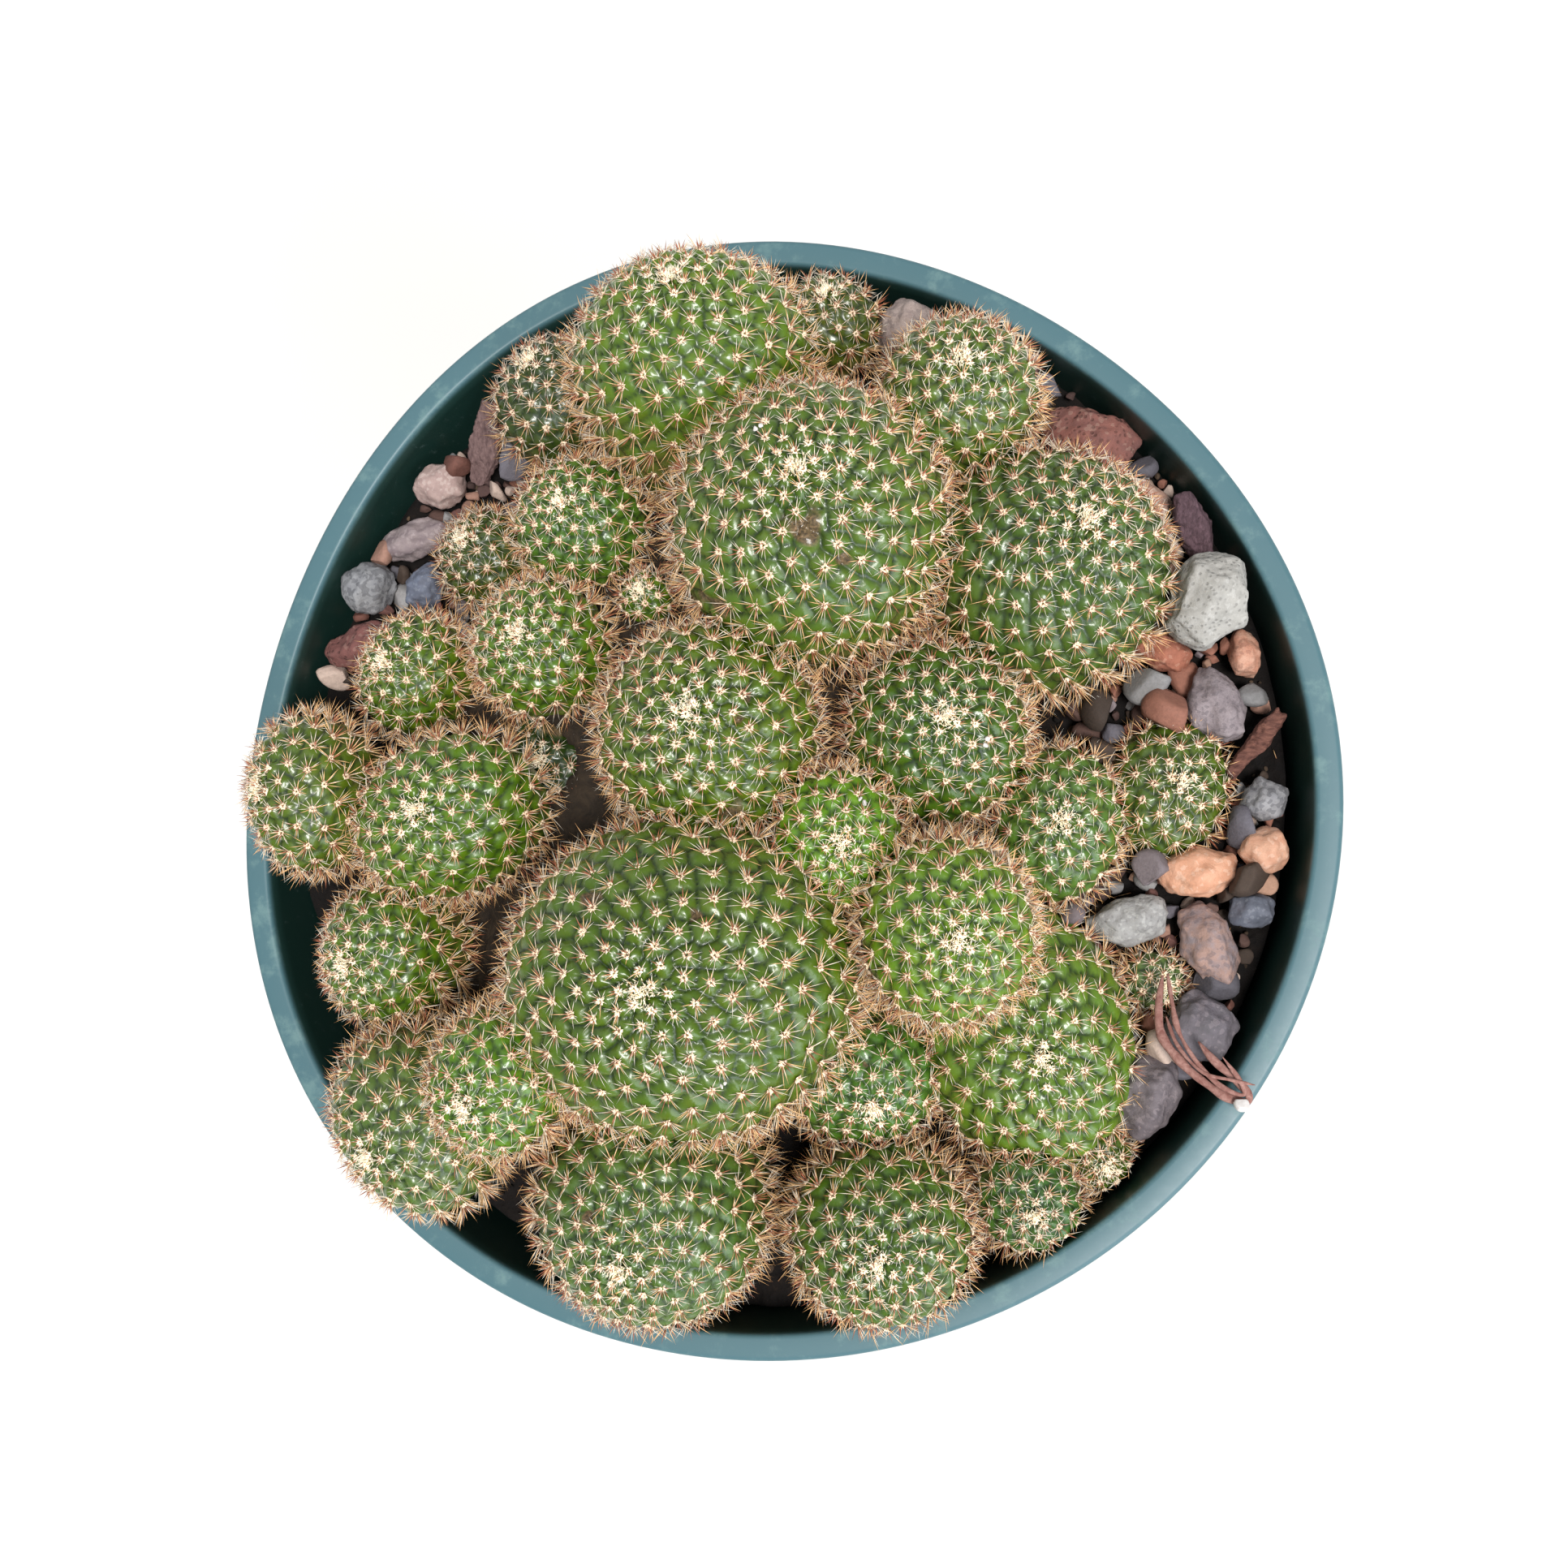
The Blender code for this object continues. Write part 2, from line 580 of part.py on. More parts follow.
def settle_together(heads, litter):
    """Push the heads apart, then the heads and the litter, each neck as long as it has to be."""
    names, planned, axes, radii = zip(*heads)
    meshes, planned_litter, litter_balls, spreads, lifts, colours = zip(*litter)
    lowest = [MIX_TOP + LEAST_RISE * radius for radius in radii]
    centres, places = planned, planned_litter
    for with_litter in (False, False, True, True, True):
        lengths = [neck_length(*head) for head in zip(centres, axes, radii)]
        balls = [head_balls(*head) for head in zip(axes, radii, lengths)]
        if with_litter:
            rest = [ground_height(*pair) + lift for pair, lift in zip(zip(places, spreads), lifts)]
            places = [(place[0], place[1], height) for place, height in zip(places, rest)]
            free = [(0.3, 0.3, 0.3)] * len(heads) + [(1, 1, 0)] * len(litter)
            settled = settle(
                [*planned, *planned_litter], [*centres, *places], balls + list(litter_balls), free,
                lowest + rest,
            )
            places = [Vector(place) for place in settled[len(heads):]]
        else:
            settled = settle(planned, centres, balls, [(1, 1, 1)] * len(heads), lowest)
        centres = [Vector(place) for place in settled[:len(heads)]]
    for place, spread, lift in zip(places, spreads, lifts):
        place.z = max(place.z, ground_height(place, spread) + lift)
    return list(zip(names, centres, axes, radii)), list(zip(meshes, places, colours))


def build_litter(litter, collection):
    for mesh, place, colour in litter:
        piece = add_piece(mesh.name, mesh, collection, colour, 0.9)
        piece.location = place


def smooth_route(points, count):
    """Evenly spread points on a smooth curve through the route's own points."""
    knots = [2 * points[0] - points[1]] + points + [2 * points[-1] - points[-2]]
    spans = len(points) - 1
    route = []
    for i in range(count):
        at = spans * i / (count - 1)
        span = min(int(at), spans - 1)
        t = at - span
        a, b, c, d = knots[span:span + 4]
        square, cube = 2 * a - 5 * b + 4 * c - d, 3 * b - a - 3 * c + d
        route.append((2 * b + (c - a) * t + square * t ** 2 + cube * t ** 3) / 2)
    return route


def build_fibre(collection):
    stations = []
    for bearing, beyond, height in FIBRE_ROUTE:
        angle, reach = math.radians(bearing), MOUTH_RADIUS + beyond * MM
        height = POT_HEIGHT + height * MM
        stations.append(Vector((reach * math.cos(angle), reach * math.sin(angle), height)))
    route = smooth_route(stations, FIBRE_POINTS)
    curve = bpy.data.curves.new("dried_root", "CURVE")
    curve.dimensions = "3D"
    curve.bevel_depth = FIBRE_DIAMETER / 2
    curve.bevel_resolution = 1
    curve.use_fill_caps = True
    spline = curve.splines.new("POLY")
    spline.points.add(len(route) - 1)
    for point, place in zip(spline.points, route):
        point.co = (*place, 1)
    curve.materials.append(new_material("dried_root", COLOURS["fibre"], 0.8))
    piece = bpy.data.objects.new("dried_root", curve)
    collection.objects.link(piece)
    return piece


def build():
    for old in list(bpy.data.objects):
        bpy.data.objects.remove(old, do_unlink=True)
    model = new_collection("potted_round_cactus")
    drain_cutters = new_collection("cutters_drainage")
    crown_cutters = new_collection("cutters_crown")
    mix_cutters = new_collection("cutters_mix")
    build_pot(model, drain_cutters)
    mix = build_mix(model)
    crown = build_crown(model, mix_cutters)
    heads, litter = settle_together(plan_heads(), plan_litter())
    build_heads(heads, model, crown_cutters, mix_cutters)
    cut(crown, "Head sockets", crown_cutters)
    cut(mix, "Root and head sockets", mix_cutters)
    build_litter(litter, model)
    build_fibre(model)


build()
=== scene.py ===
"""Looks of a potted round cactus: a clump of small spiny heads in a round nursery pot.

The origin is the middle of the pot's underside, +Z up. Each head is a skin of tubercles and, as a
second piece, its spines and wool; the pot, the mix, the root crown, the stones and the bark are
finer meshes round their CAD solids.
"""

import json
import math

import bmesh
import bpy
import numpy as np
from mathutils import Matrix, Vector, noise


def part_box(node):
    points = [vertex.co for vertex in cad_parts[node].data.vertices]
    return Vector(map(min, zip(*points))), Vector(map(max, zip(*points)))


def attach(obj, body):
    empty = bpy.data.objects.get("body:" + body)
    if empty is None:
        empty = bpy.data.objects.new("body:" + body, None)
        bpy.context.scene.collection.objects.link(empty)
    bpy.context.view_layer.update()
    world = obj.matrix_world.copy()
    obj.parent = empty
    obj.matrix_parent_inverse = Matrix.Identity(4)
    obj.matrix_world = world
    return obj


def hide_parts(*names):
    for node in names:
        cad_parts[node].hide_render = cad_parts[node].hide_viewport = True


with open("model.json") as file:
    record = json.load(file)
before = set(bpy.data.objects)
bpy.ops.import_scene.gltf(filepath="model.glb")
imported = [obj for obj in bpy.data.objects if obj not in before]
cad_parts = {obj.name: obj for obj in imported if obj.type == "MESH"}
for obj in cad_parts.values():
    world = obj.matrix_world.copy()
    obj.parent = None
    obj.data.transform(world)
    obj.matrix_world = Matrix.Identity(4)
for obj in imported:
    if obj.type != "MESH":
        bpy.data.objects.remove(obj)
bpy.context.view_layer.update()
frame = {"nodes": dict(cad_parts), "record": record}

MM = 0.001

# ---- The pot, in metres; its rim and height are the CAD pot's ----
WALL = 1.2 * MM
FLOOR = 1.6 * MM
LIP_WIDTH = 2.4 * MM
LIP_DEPTH = 5.5 * MM
FOOT_ROUND = 1.4 * MM
DRAIN_HOLES = 5
DRAIN_DIAMETER = 7 * MM
DRAIN_REACH = 24 * MM
POT_STEPS = 240
# Levels of the wall's own rows between foot and lip, and the hole in the middle that its poles close
WALL_LEVELS = (30 * MM, 55 * MM)
POLE_RADIUS = 4 * MM
# How far the soft rim is out of round: its mean growth (mm), the level that it starts from, then
# the cosine and sine parts of its second, third and fourth harmonics (mm)
RIM_GROWTH = 0.28
RIM_GROWS_FROM = 20 * MM
RIM_HARMONICS = {2: (-0.249, -0.011), 3: (0.640, -0.497), 4: (0.016, 0.195)}

# ---- The heads ----
FLESH_PITCH = 0.3 * MM
# A head's CAD solid is a ball, then a cone, then a neck, which is the slim outline. Its flesh is
# as stout as its neighbours allow, at most the stout one. Both are (way down from the apex in
# radians, reach, level), the last two in shares of the ball's radius.
SLIM_OUTLINE = [(2.129, 0.848, -0.530), (3.071, 0.35, -1.33), (3.60, 0.35, -1.86)]
# A stout ball is wider than its CAD ball by this share at its equator
SWELL = 0.09
STOUT_OUTLINE = [
    (1.571, 1.09, 0.0), (1.921, 1.08, -0.35), (2.325, 1.00, -0.75), (2.746, 0.84, -1.15),
    (3.149, 0.62, -1.50), (3.60, 0.35, -1.86),
]
# Heads that are longer than wide: the direction in plan, and how much longer
STRETCHES = {
    "head_03": ((1.0, 0.1), 1.12), "head_18": ((1.0, 0.4), 1.22), "head_06": ((0.2, -1.0), 1.06),
    "head_19": ((0.5, -1.0), 1.45), "head_24": ((1.0, 0.2), 1.10),
    "head_05": ((0.1, -1.0), 1.12), "head_07": ((1.0, 0.1), 1.10),
    "head_17": ((-0.1, 1.0), 1.28), "head_20": ((0.3, 1.0), 1.08), "head_22": ((0.6, -0.8), 1.22),
    "head_28": ((0.2, 1.0), 1.22), "head_29": ((0.3, 1.0), 1.20),
    "head_30": ((0.3, -0.95), 1.30), "head_16": ((0.4, 0.9), 1.12), "head_21": ((0.2, 1.0), 1.08),
    "head_10": ((1.0, -0.3), 1.15), "head_08": ((0.2, 1.0), 1.15),
}
# How far flesh may reach into a neighbour's ball
FLESH_GAP = 0.12 * MM
GOLDEN_ANGLE = math.pi * (3 - math.sqrt(5))
# Spacing of the areoles down the sides of a middling head, and at a head's crown as a share of it
SIDE_SPACING = 2.9 * MM
MIDDLING_RADIUS = 12.5 * MM
CROWN_SPACING_SHARE = 0.42
# The way down from the apex, in radians of the ball, where the areoles end
LAST_AREOLE = 2.75

# Blemishes: a direction from the head's middle, width (mm), and how deep it is sunk (mm)
SCARS = {
    "head_01": [((0.60, 0.24, 0.76), 1.0, 0.5), ((0.54, 0.00, 0.84), 0.8, 0.4),
                ((-0.41, -0.19, 0.89), 1.1, 0.5), ((-0.22, -0.49, 0.85), 0.8, 0.2),
                ((0.35, -0.83, 0.43), 2.0, 0.3)],
    "head_02": [((0.14, -0.31, 0.94), 3.2, 0.6), ((0.41, -0.51, 0.76), 1.4, 0.4),
                ((-0.66, -0.66, 0.34), 3.6, 0.4)],
    "head_03": [((-0.43, 0.53, 0.73), 2.2, 0.3), ((0.33, 0.44, 0.84), 1.3, 0.3),
                ((0.57, 0.11, 0.81), 1.0, 0.3), ((-0.52, 0.24, 0.82), 0.8, 0.2)],
    "head_04": [((0.35, -0.45, 0.80), 0.8, 0.2)],
    "head_11": [((0.74, 0.26, 0.62), 1.4, 0.2)],
    "head_18": [((0.52, 0.64, 0.57), 1.7, 0.4), ((0.78, 0.59, 0.10), 2.8, 0.4)],
    "head_19": [((0.14, 0.69, 0.71), 2.0, 0.3)],
    "head_14": [((0.20, -0.96, 0.00), 2.6, 0.4)],
    "head_23": [((-0.33, 0.08, 0.94), 1.4, 0.3)],
    "head_24": [((0.13, 0.32, 0.94), 0.7, 0.2)],
    "head_30": [((-0.60, 0.27, 0.75), 1.0, 0.3)],
}

# Shaded, brownish heads: how much painted shade darkens their spines, from 0 to 1
SPINE_SHADE_PAINTED = {
    "head_08": 0.35, "head_10": 0.3, "head_11": 0.2, "head_13": 0.3, "head_19": 0.6, "head_26": 0.3,
}

# Skin colours of the heads seen through their spines, sRGB: each is the head's own green with the shade
# that the head lies in painted in, so heads deep among their neighbours, such as head_19, are darker;
# and how much deeper and brighter the bare skin is
SKIN_DEPTH = 1.65
SKIN_BRIGHTNESS = 0.66
SKINS_WITH_SHADE = {
    "head_01": (92, 113, 58), "head_02": (90, 112, 62), "head_03": (88, 110, 56),
    "head_04": (76, 102, 46), "head_05": (110, 146, 58), "head_06": (105, 134, 50),
    "head_07": (99, 123, 67), "head_08": (60, 74, 42), "head_09": (92, 112, 64),
    "head_10": (80, 92, 52), "head_11": (80, 104, 56), "head_12": (87, 116, 63),
    "head_13": (69, 83, 36), "head_14": (93, 120, 60), "head_15": (90, 116, 58),
    "head_16": (91, 114, 53), "head_17": (87, 106, 42), "head_18": (94, 122, 56),
    "head_19": (44, 60, 26), "head_20": (89, 116, 47), "head_21": (98, 130, 64),
    "head_22": (94, 114, 70), "head_23": (89, 113, 68), "head_24": (88, 121, 68),
    "head_25": (81, 106, 54), "head_26": (74, 105, 58), "head_27": (81, 103, 58),
    "head_28": (94, 120, 71), "head_29": (87, 106, 59), "head_30": (104, 129, 72),
    "head_31": (106, 127, 91), "head_32": (88, 108, 60),
}


# ---- Materials ----
class Wire:
    """A socket of a finish's node tree that Python's operators work on."""

    def __init__(self, finish, socket):
        self.finish, self.socket = finish, socket

    def maths(self, operation, *values):
        settings = {"operation": operation}
        return self.finish.node("ShaderNodeMath", settings, dict(enumerate(values)), "Value")

    def __add__(self, other):
        return self.maths("ADD", self, other)

    __radd__ = __add__

    def __sub__(self, other):
        return self.maths("SUBTRACT", self, other)

    def __rsub__(self, other):
        return self.maths("SUBTRACT", other, self)

    def __mul__(self, other):
        return self.maths("MULTIPLY", self, other)

    __rmul__ = __mul__

    def __gt__(self, other):
        return self.maths("GREATER_THAN", self, other)

    def band(self, low, high):
        """0 below low, 1 above high, and a smooth step between them."""
        values = {"Value": self, "From Min": low, "From Max": high}
        settings = {"interpolation_type": "SMOOTHSTEP"}
        return self.finish.node("ShaderNodeMapRange", settings, values, "Result")


class Finish:
    """A Principled material that is built up node by node."""

    def __init__(self, name, **constants):
        self.material = bpy.data.materials.new(name)
        self.material.use_nodes = True
        self.tree = self.material.node_tree
        self.shader = self.tree.nodes["Principled BSDF"]
        for socket, value in constants.items():
            self.shader.inputs[socket.replace("_", " ")].default_value = value

    def node(self, kind, settings, values, output):
        """One node: its settings first, then its sockets' values or links."""
        made = self.tree.nodes.new(kind)
        for setting, value in settings.items():
            if setting == "stops":
                ramp = made.color_ramp.elements
                while len(ramp) < len(value):
                    ramp.new(0.5)
                for stop, (place, colour) in zip(ramp, value):
                    stop.position, stop.color = place, (*colour, 1)
            else:
                setattr(made, setting, value)
        for socket, value in values.items():
            self.feed(made.inputs[socket], value)
        return Wire(self, made.outputs[output])

    def feed(self, socket, value):
        if isinstance(value, Wire):
            self.tree.links.new(value.socket, socket)
        elif socket.type == "RGBA" and len(value) == 3:
            socket.default_value = (*value, 1)
        else:
            socket.default_value = value

    def place(self):
        return self.node("ShaderNodeTexCoord", {}, {}, "Object")

    def attribute(self, name, output="Fac"):
        return self.node("ShaderNodeAttribute", {"attribute_name": name}, {}, output)

    def noise(self, size, detail=3.0, roughness=0.55, output="Fac"):
        """Noise whose lumps are about that size, in metres."""
        values = {"Vector": self.place(), "Scale": 1 / size, "Detail": detail, "Roughness": roughness}
        return self.node("ShaderNodeTexNoise", {}, values, output)

    def cells(self, size, output="Distance"):
        values = {"Vector": self.place(), "Scale": 1 / size}
        return self.node("ShaderNodeTexVoronoi", {}, values, output)

    def mix(self, share, first, second, blend="MIX"):
        settings = {"data_type": "RGBA", "blend_type": blend, "clamp_factor": True}
        return self.node("ShaderNodeMix", settings, {0: share, 6: first, 7: second}, 2)

    def ramp(self, value, stops):
        return self.node("ShaderNodeValToRGB", {"stops": stops}, {"Fac": value}, "Color")

    def bump(self, height, strength, distance):
        values = {"Height": height, "Strength": strength, "Distance": distance}
        self.surface(Normal=self.node("ShaderNodeBump", {}, values, "Normal"))

    def surface(self, **links):
        for socket, wire in links.items():
            self.feed(self.shader.inputs[socket.replace("_", " ")], wire)


def linear(red, green, blue):
    """Linear colour of an sRGB one given in bytes."""
    bright = [channel / 255 for channel in (red, green, blue)]
    return tuple(c / 12.92 if c <= 0.04045 else ((c + 0.055) / 1.055) ** 2.4 for c in bright)


def flesh_finish():
    """Waxy green skin: painted shade in the grooves, pale flecks of painted sheen, yellower with age,
    corky brown in its scars.
    """
    skin = Finish("flesh", Subsurface_Weight=0.05, Subsurface_Scale=0.8 * MM, Coat_Weight=0.40,
                  Coat_Roughness=0.16, Specular_IOR_Level=0.5)
    tint = skin.attribute("tint", "Color")
    groove, age, scar = (skin.attribute(name) for name in ("groove", "age", "scar"))
    patches = skin.noise(2.4 * MM, 4)
    fine = skin.noise(0.25 * MM, 3)
    light = skin.mix(patches.band(0.35, 0.75), tint, (1.35, 1.12, 0.85), "MULTIPLY")
    # painted shade: the grooves between the tubercles darkened almost to black
    deep = skin.mix(groove.band(0.10, 0.90) * 0.92, light, (0.004, 0.016, 0.002))
    aged = skin.mix(age.band(0.6, 1.0) * patches.band(0.3, 0.6) * 0.6, deep, (0.10, 0.075, 0.025))
    cork = skin.ramp(fine, [
        (0.3, (0.030, 0.018, 0.008)), (0.55, (0.13, 0.085, 0.035)), (0.75, (0.30, 0.18, 0.10)),
    ])
    worn = scar.band(0.3, 0.6)
    # painted sheen: pale flecks where the skin's tiny bumps would glint
    flecks = skin.noise(0.5 * MM, 2).band(0.66, 0.72) * 0.3
    skin.surface(
        Base_Color=skin.mix(worn, skin.mix(flecks, aged, (0.16, 0.21, 0.07)), cork),
        Roughness=0.28 + groove * 0.25 + worn * 0.4 + fine * 0.08,
    )
    skin.bump(fine + worn * skin.noise(0.4 * MM, 4), 0.35, 0.06 * MM)
    return skin.material


def spine_finish(name, roughness, *kinds):
    """Spines and wool. Across the OFBake map run the kinds, each from its darkest to its lightest,
    and up it runs the way from root to tip."""
    spine = Finish(name, Roughness=roughness, Specular_IOR_Level=0.5)
    both = spine.node("ShaderNodeUVMap", {"uv_map": "OFBake"}, {}, "UV")
    across = spine.node("ShaderNodeSeparateXYZ", {}, {"Vector": both}, "X") * len(kinds)
    along = spine.node("ShaderNodeSeparateXYZ", {}, {"Vector": both}, "Y")
    colour = spine.ramp(along, kinds[0])
    for number, kind in enumerate(kinds[1:], 1):
        colour = spine.mix(across > number, colour, spine.ramp(along, kind))
    # each stick's lane sets how dark it is, which on the shaded heads carries painted shade
    shade = 0.62 + across.maths("FRACT", across) * 0.62
    grey = spine.node("ShaderNodeCombineColor", {}, {0: shade, 1: shade, 2: shade}, "Color")
    spine.surface(Base_Color=spine.mix(1.0, colour, grey, "MULTIPLY"))
    return spine.material


def pot_finish():
    """Dark teal moulded plastic, with worn edges, fine scuffs and a little dust; a painted sheen
    lightens the lip's top and painted shade darkens the pot's inside.
    """
    plastic = Finish("pot_plastic", Specular_IOR_Level=0.5)
    scuffs = plastic.noise(0.8 * MM, 6, 0.7)
    stretched = plastic.node(
        "ShaderNodeMapping", {}, {"Vector": plastic.place(), "Scale": (1, 1, 9)}, "Vector",
    )
    drawn = plastic.node(
        "ShaderNodeTexNoise", {}, {"Vector": stretched, "Scale": 500.0, "Detail": 5.0}, "Fac",
    )
    rubbed, inside = plastic.attribute("rubbed"), plastic.attribute("inside")
    base = plastic.mix(plastic.noise(14 * MM, 3), (0.024, 0.070, 0.062), (0.032, 0.086, 0.078))
    # painted sheen: the lip's top lighter and bluer
    base = plastic.mix(rubbed.band(0.0, 0.7), base, (0.066, 0.145, 0.168))
    # painted shade: the pot's inside darkened almost to black
    base = plastic.mix(inside, base, (0.006, 0.024, 0.019))
    dusty = plastic.mix(scuffs.band(0.60, 0.78) * 0.25, base, (0.16, 0.23, 0.23))
    edge = rubbed * plastic.noise(3.5 * MM, 6, 0.7).band(0.50, 0.70)
    plastic.surface(
        Base_Color=plastic.mix(edge * 0.4, dusty, (0.20, 0.32, 0.30)),
        Roughness=0.36 + scuffs * 0.14 + edge * 0.12,
    )
    plastic.bump(drawn * 0.5 + scuffs, 0.15, 0.03 * MM)
    return plastic.material


def mix_finish():
    """Moist dark peat with brown crumbs; its colour runs almost to black, the peat's own dark deepened
    with painted shade of the gaps between the heads.
    """
    mix = Finish("potting_mix", Specular_IOR_Level=0.3)
    lumps, crumbs = mix.noise(1.6 * MM, 6, 0.7), mix.cells(0.9 * MM)
    # painted shade: the peat's own dark colour pushed almost to black
    stops = [
        (0.35, (0.003, 0.002, 0.002)), (0.60, (0.008, 0.005, 0.004)), (0.82, (0.028, 0.017, 0.011)),
    ]
    shade = mix.attribute("shade")
    colour = mix.mix(shade, mix.ramp(lumps, stops), (0.13, 0.085, 0.055))
    mix.surface(Base_Color=colour, Roughness=0.80 + lumps * 0.15)
    mix.bump(lumps + crumbs * 0.5, 0.9, 0.5 * MM)
    return mix.material


def rock_finish(name, main, other, fleck, grain, flecked, pits, roughness):
    """Broken rock: two colours in blotches, flecks of a third, grain and, in pumice, pits with painted
    shade in them.
    """
    rock = Finish(name, Specular_IOR_Level=0.35)
    blotches, fine = rock.noise(grain * 4, 5, 0.62), rock.noise(grain * 0.5, 4, 0.7)
    spots = rock.cells(grain, output="Color")
    spot = rock.node("ShaderNodeSeparateColor", {}, {"Color": spots}, "Red")
    body = rock.mix(blotches.band(0.36, 0.68), main, other)
    speckled = rock.mix((spot > 1 - flecked) * 0.45, body, fleck)
    # painted shade: the pits darkened to a quarter of the main colour
    holes = 1 - rock.cells(grain * 1.6).band(0.12, 0.40)
    dark = tuple(channel * 0.25 for channel in main)
    tone = rock.mix(fine, (0.72, 0.72, 0.72), (1.25, 1.25, 1.25))
    toned = rock.mix(1.0, speckled, tone, "MULTIPLY")
    rock.surface(
        Base_Color=rock.mix(holes * pits, toned, dark),
        Roughness=roughness - 0.12 + fine * 0.24,
    )
    rock.bump(fine * 0.7 + blotches - holes * (2.2 * pits), 0.7, grain * 0.35)
    return rock.material


def wood_finish(name, dark, light, size, stretch):
    """Fibrous wood or bark, its grain drawn out along one axis."""
    wood = Finish(name, Specular_IOR_Level=0.3)
    drawn = wood.node("ShaderNodeMapping", {}, {"Vector": wood.place(), "Scale": stretch}, "Vector")
    values = {"Vector": drawn, "Scale": 1 / size, "Detail": 6.0, "Roughness": 0.65, "Distortion": 0.4}
    grain = wood.node("ShaderNodeTexNoise", {}, values, "Fac")
    patches = wood.noise(size * 3, 3)
    middle = tuple((a + b) / 2 for a, b in zip(dark, light))
    colour = wood.ramp(grain, [(0.30, dark), (0.52, middle), (0.72, light)])
    wood.surface(
        Base_Color=wood.mix(patches.band(0.5, 0.75) * 0.5, colour, dark),
        Roughness=0.70 + grain * 0.22,
    )
    wood.bump(grain, 0.8, size * 0.3)
    return wood.material


def floor_finish():
    """Pale painted board."""
    board = Finish("floor", Specular_IOR_Level=0.2)
    tone = board.noise(60 * MM, 2)
    board.surface(
        Base_Color=board.mix(tone, (0.70, 0.69, 0.67), (0.75, 0.74, 0.72)),
        Roughness=0.82 + tone * 0.1,
    )
    return board.material


# ---- Meshes ----
def add_piece(name, mesh, material, slot, *nodes):
    """Show a mesh as a piece of the object that stands for these CAD nodes, if any are given."""
    mesh.materials.append(material)
    mesh.polygons.foreach_set("use_smooth", np.ones(len(mesh.polygons), bool))
    piece = bpy.data.objects.new(name, mesh)
    bpy.context.scene.collection.objects.link(piece)
    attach(piece, "root")
    if nodes:
        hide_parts(*nodes)


def make_mesh(name, points, corners, starts):
    """A mesh from its points, the point of every corner and the first corner of every face."""
    mesh = bpy.data.meshes.new(name)
    mesh.vertices.add(len(points))
    mesh.vertices.foreach_set("co", np.asarray(points, np.float32).ravel())
    mesh.loops.add(len(corners))
    mesh.loops.foreach_set("vertex_index", np.asarray(corners, np.int32))
    mesh.polygons.add(len(starts))
    mesh.polygons.foreach_set("loop_start", np.asarray(starts, np.int32))
    mesh.update(calc_edges=True)
    return mesh


def add_attribute(mesh, name, values, kind="FLOAT"):
    layer = mesh.attributes.new(name, kind, "POINT")
    key = "color" if kind == "FLOAT_COLOR" else "value"
    layer.data.foreach_set(key, np.asarray(values, np.float32).ravel())


def turned_mesh(name, rows):
    """A mesh from rows of points, each row one turn, closed by a pole at both ends.

    rows is (count, steps, 3); the first and last rows are shrunk to their middles as the poles.
    """
    count, steps, _ = rows.shape
    points = np.concatenate([rows[0].mean(0)[None], rows[1:-1].reshape(-1, 3), rows[-1].mean(0)[None]])
    low = np.arange(count - 3)[:, None] * steps + 1
    high = low + steps
    here = np.arange(steps)
    after = (here + 1) % steps
    quads = np.stack([low + here, high + here, high + after, low + after], axis=-1).reshape(-1, 4)
    last = 1 + (count - 3) * steps
    top = np.stack([np.zeros(steps, int), 1 + here, 1 + after], axis=-1)
    bottom = np.stack([np.full(steps, len(points) - 1), last + after, last + here], axis=-1)
    corners = np.concatenate([quads.ravel(), top.ravel(), bottom.ravel()])
    starts = np.concatenate([np.arange(len(quads)) * 4, len(quads) * 4 + np.arange(2 * steps) * 3])
    return make_mesh(name, points, corners, starts)


def unit(vectors):
    return vectors / (np.linalg.norm(vectors, axis=-1, keepdims=True) + 1e-12)


def square_axes(axes):
    """Two directions square to each axis and to each other."""
    helper = np.where(np.abs(axes[..., 2:3]) < 0.9, [0.0, 0.0, 1.0], [1.0, 0.0, 0.0])
    side = unit(np.cross(axes, helper))
    return side, np.cross(axes, side)


def turned_rows(reach, bearing, level):
    """Points on turns about +Z, at that reach and level for each bearing."""
    across = np.broadcast_arrays(reach * np.cos(bearing), reach * np.sin(bearing), level)
    return np.stack(across, axis=-1)


def ripple(points, size, rng, waves=9):
    """A smooth field of about -1 to 1 whose lumps are about that size."""
    total = np.zeros(points.shape[:-1])
    for _ in range(waves):
        way = unit(rng.normal(size=3)) * rng.uniform(0.6, 1.4)
        total += np.sin(points @ way * (2 * math.pi / (2 * size)) + rng.uniform(0, 2 * math.pi))
    return total / math.sqrt(waves)


# ---- Sticks: spines, wool and fallen litter ----
STICK_CORNERS = np.array([0, 1, 4, 3, 1, 2, 5, 4, 2, 0, 3, 5, 3, 4, 6, 4, 5, 6, 5, 3, 6, 2, 1, 0])
# Pale, golden and red-brown spines, wool and new wool
KINDS = 5
STICK_STARTS = np.array([0, 4, 8, 12, 15, 18, 21])
STICK_ALONG = np.array([0.02, 0.02, 0.02, 0.5, 0.5, 0.5, 0.98])
STICK_ACROSS = np.array([-1, 0, 1, -1, 0, 1, 0])


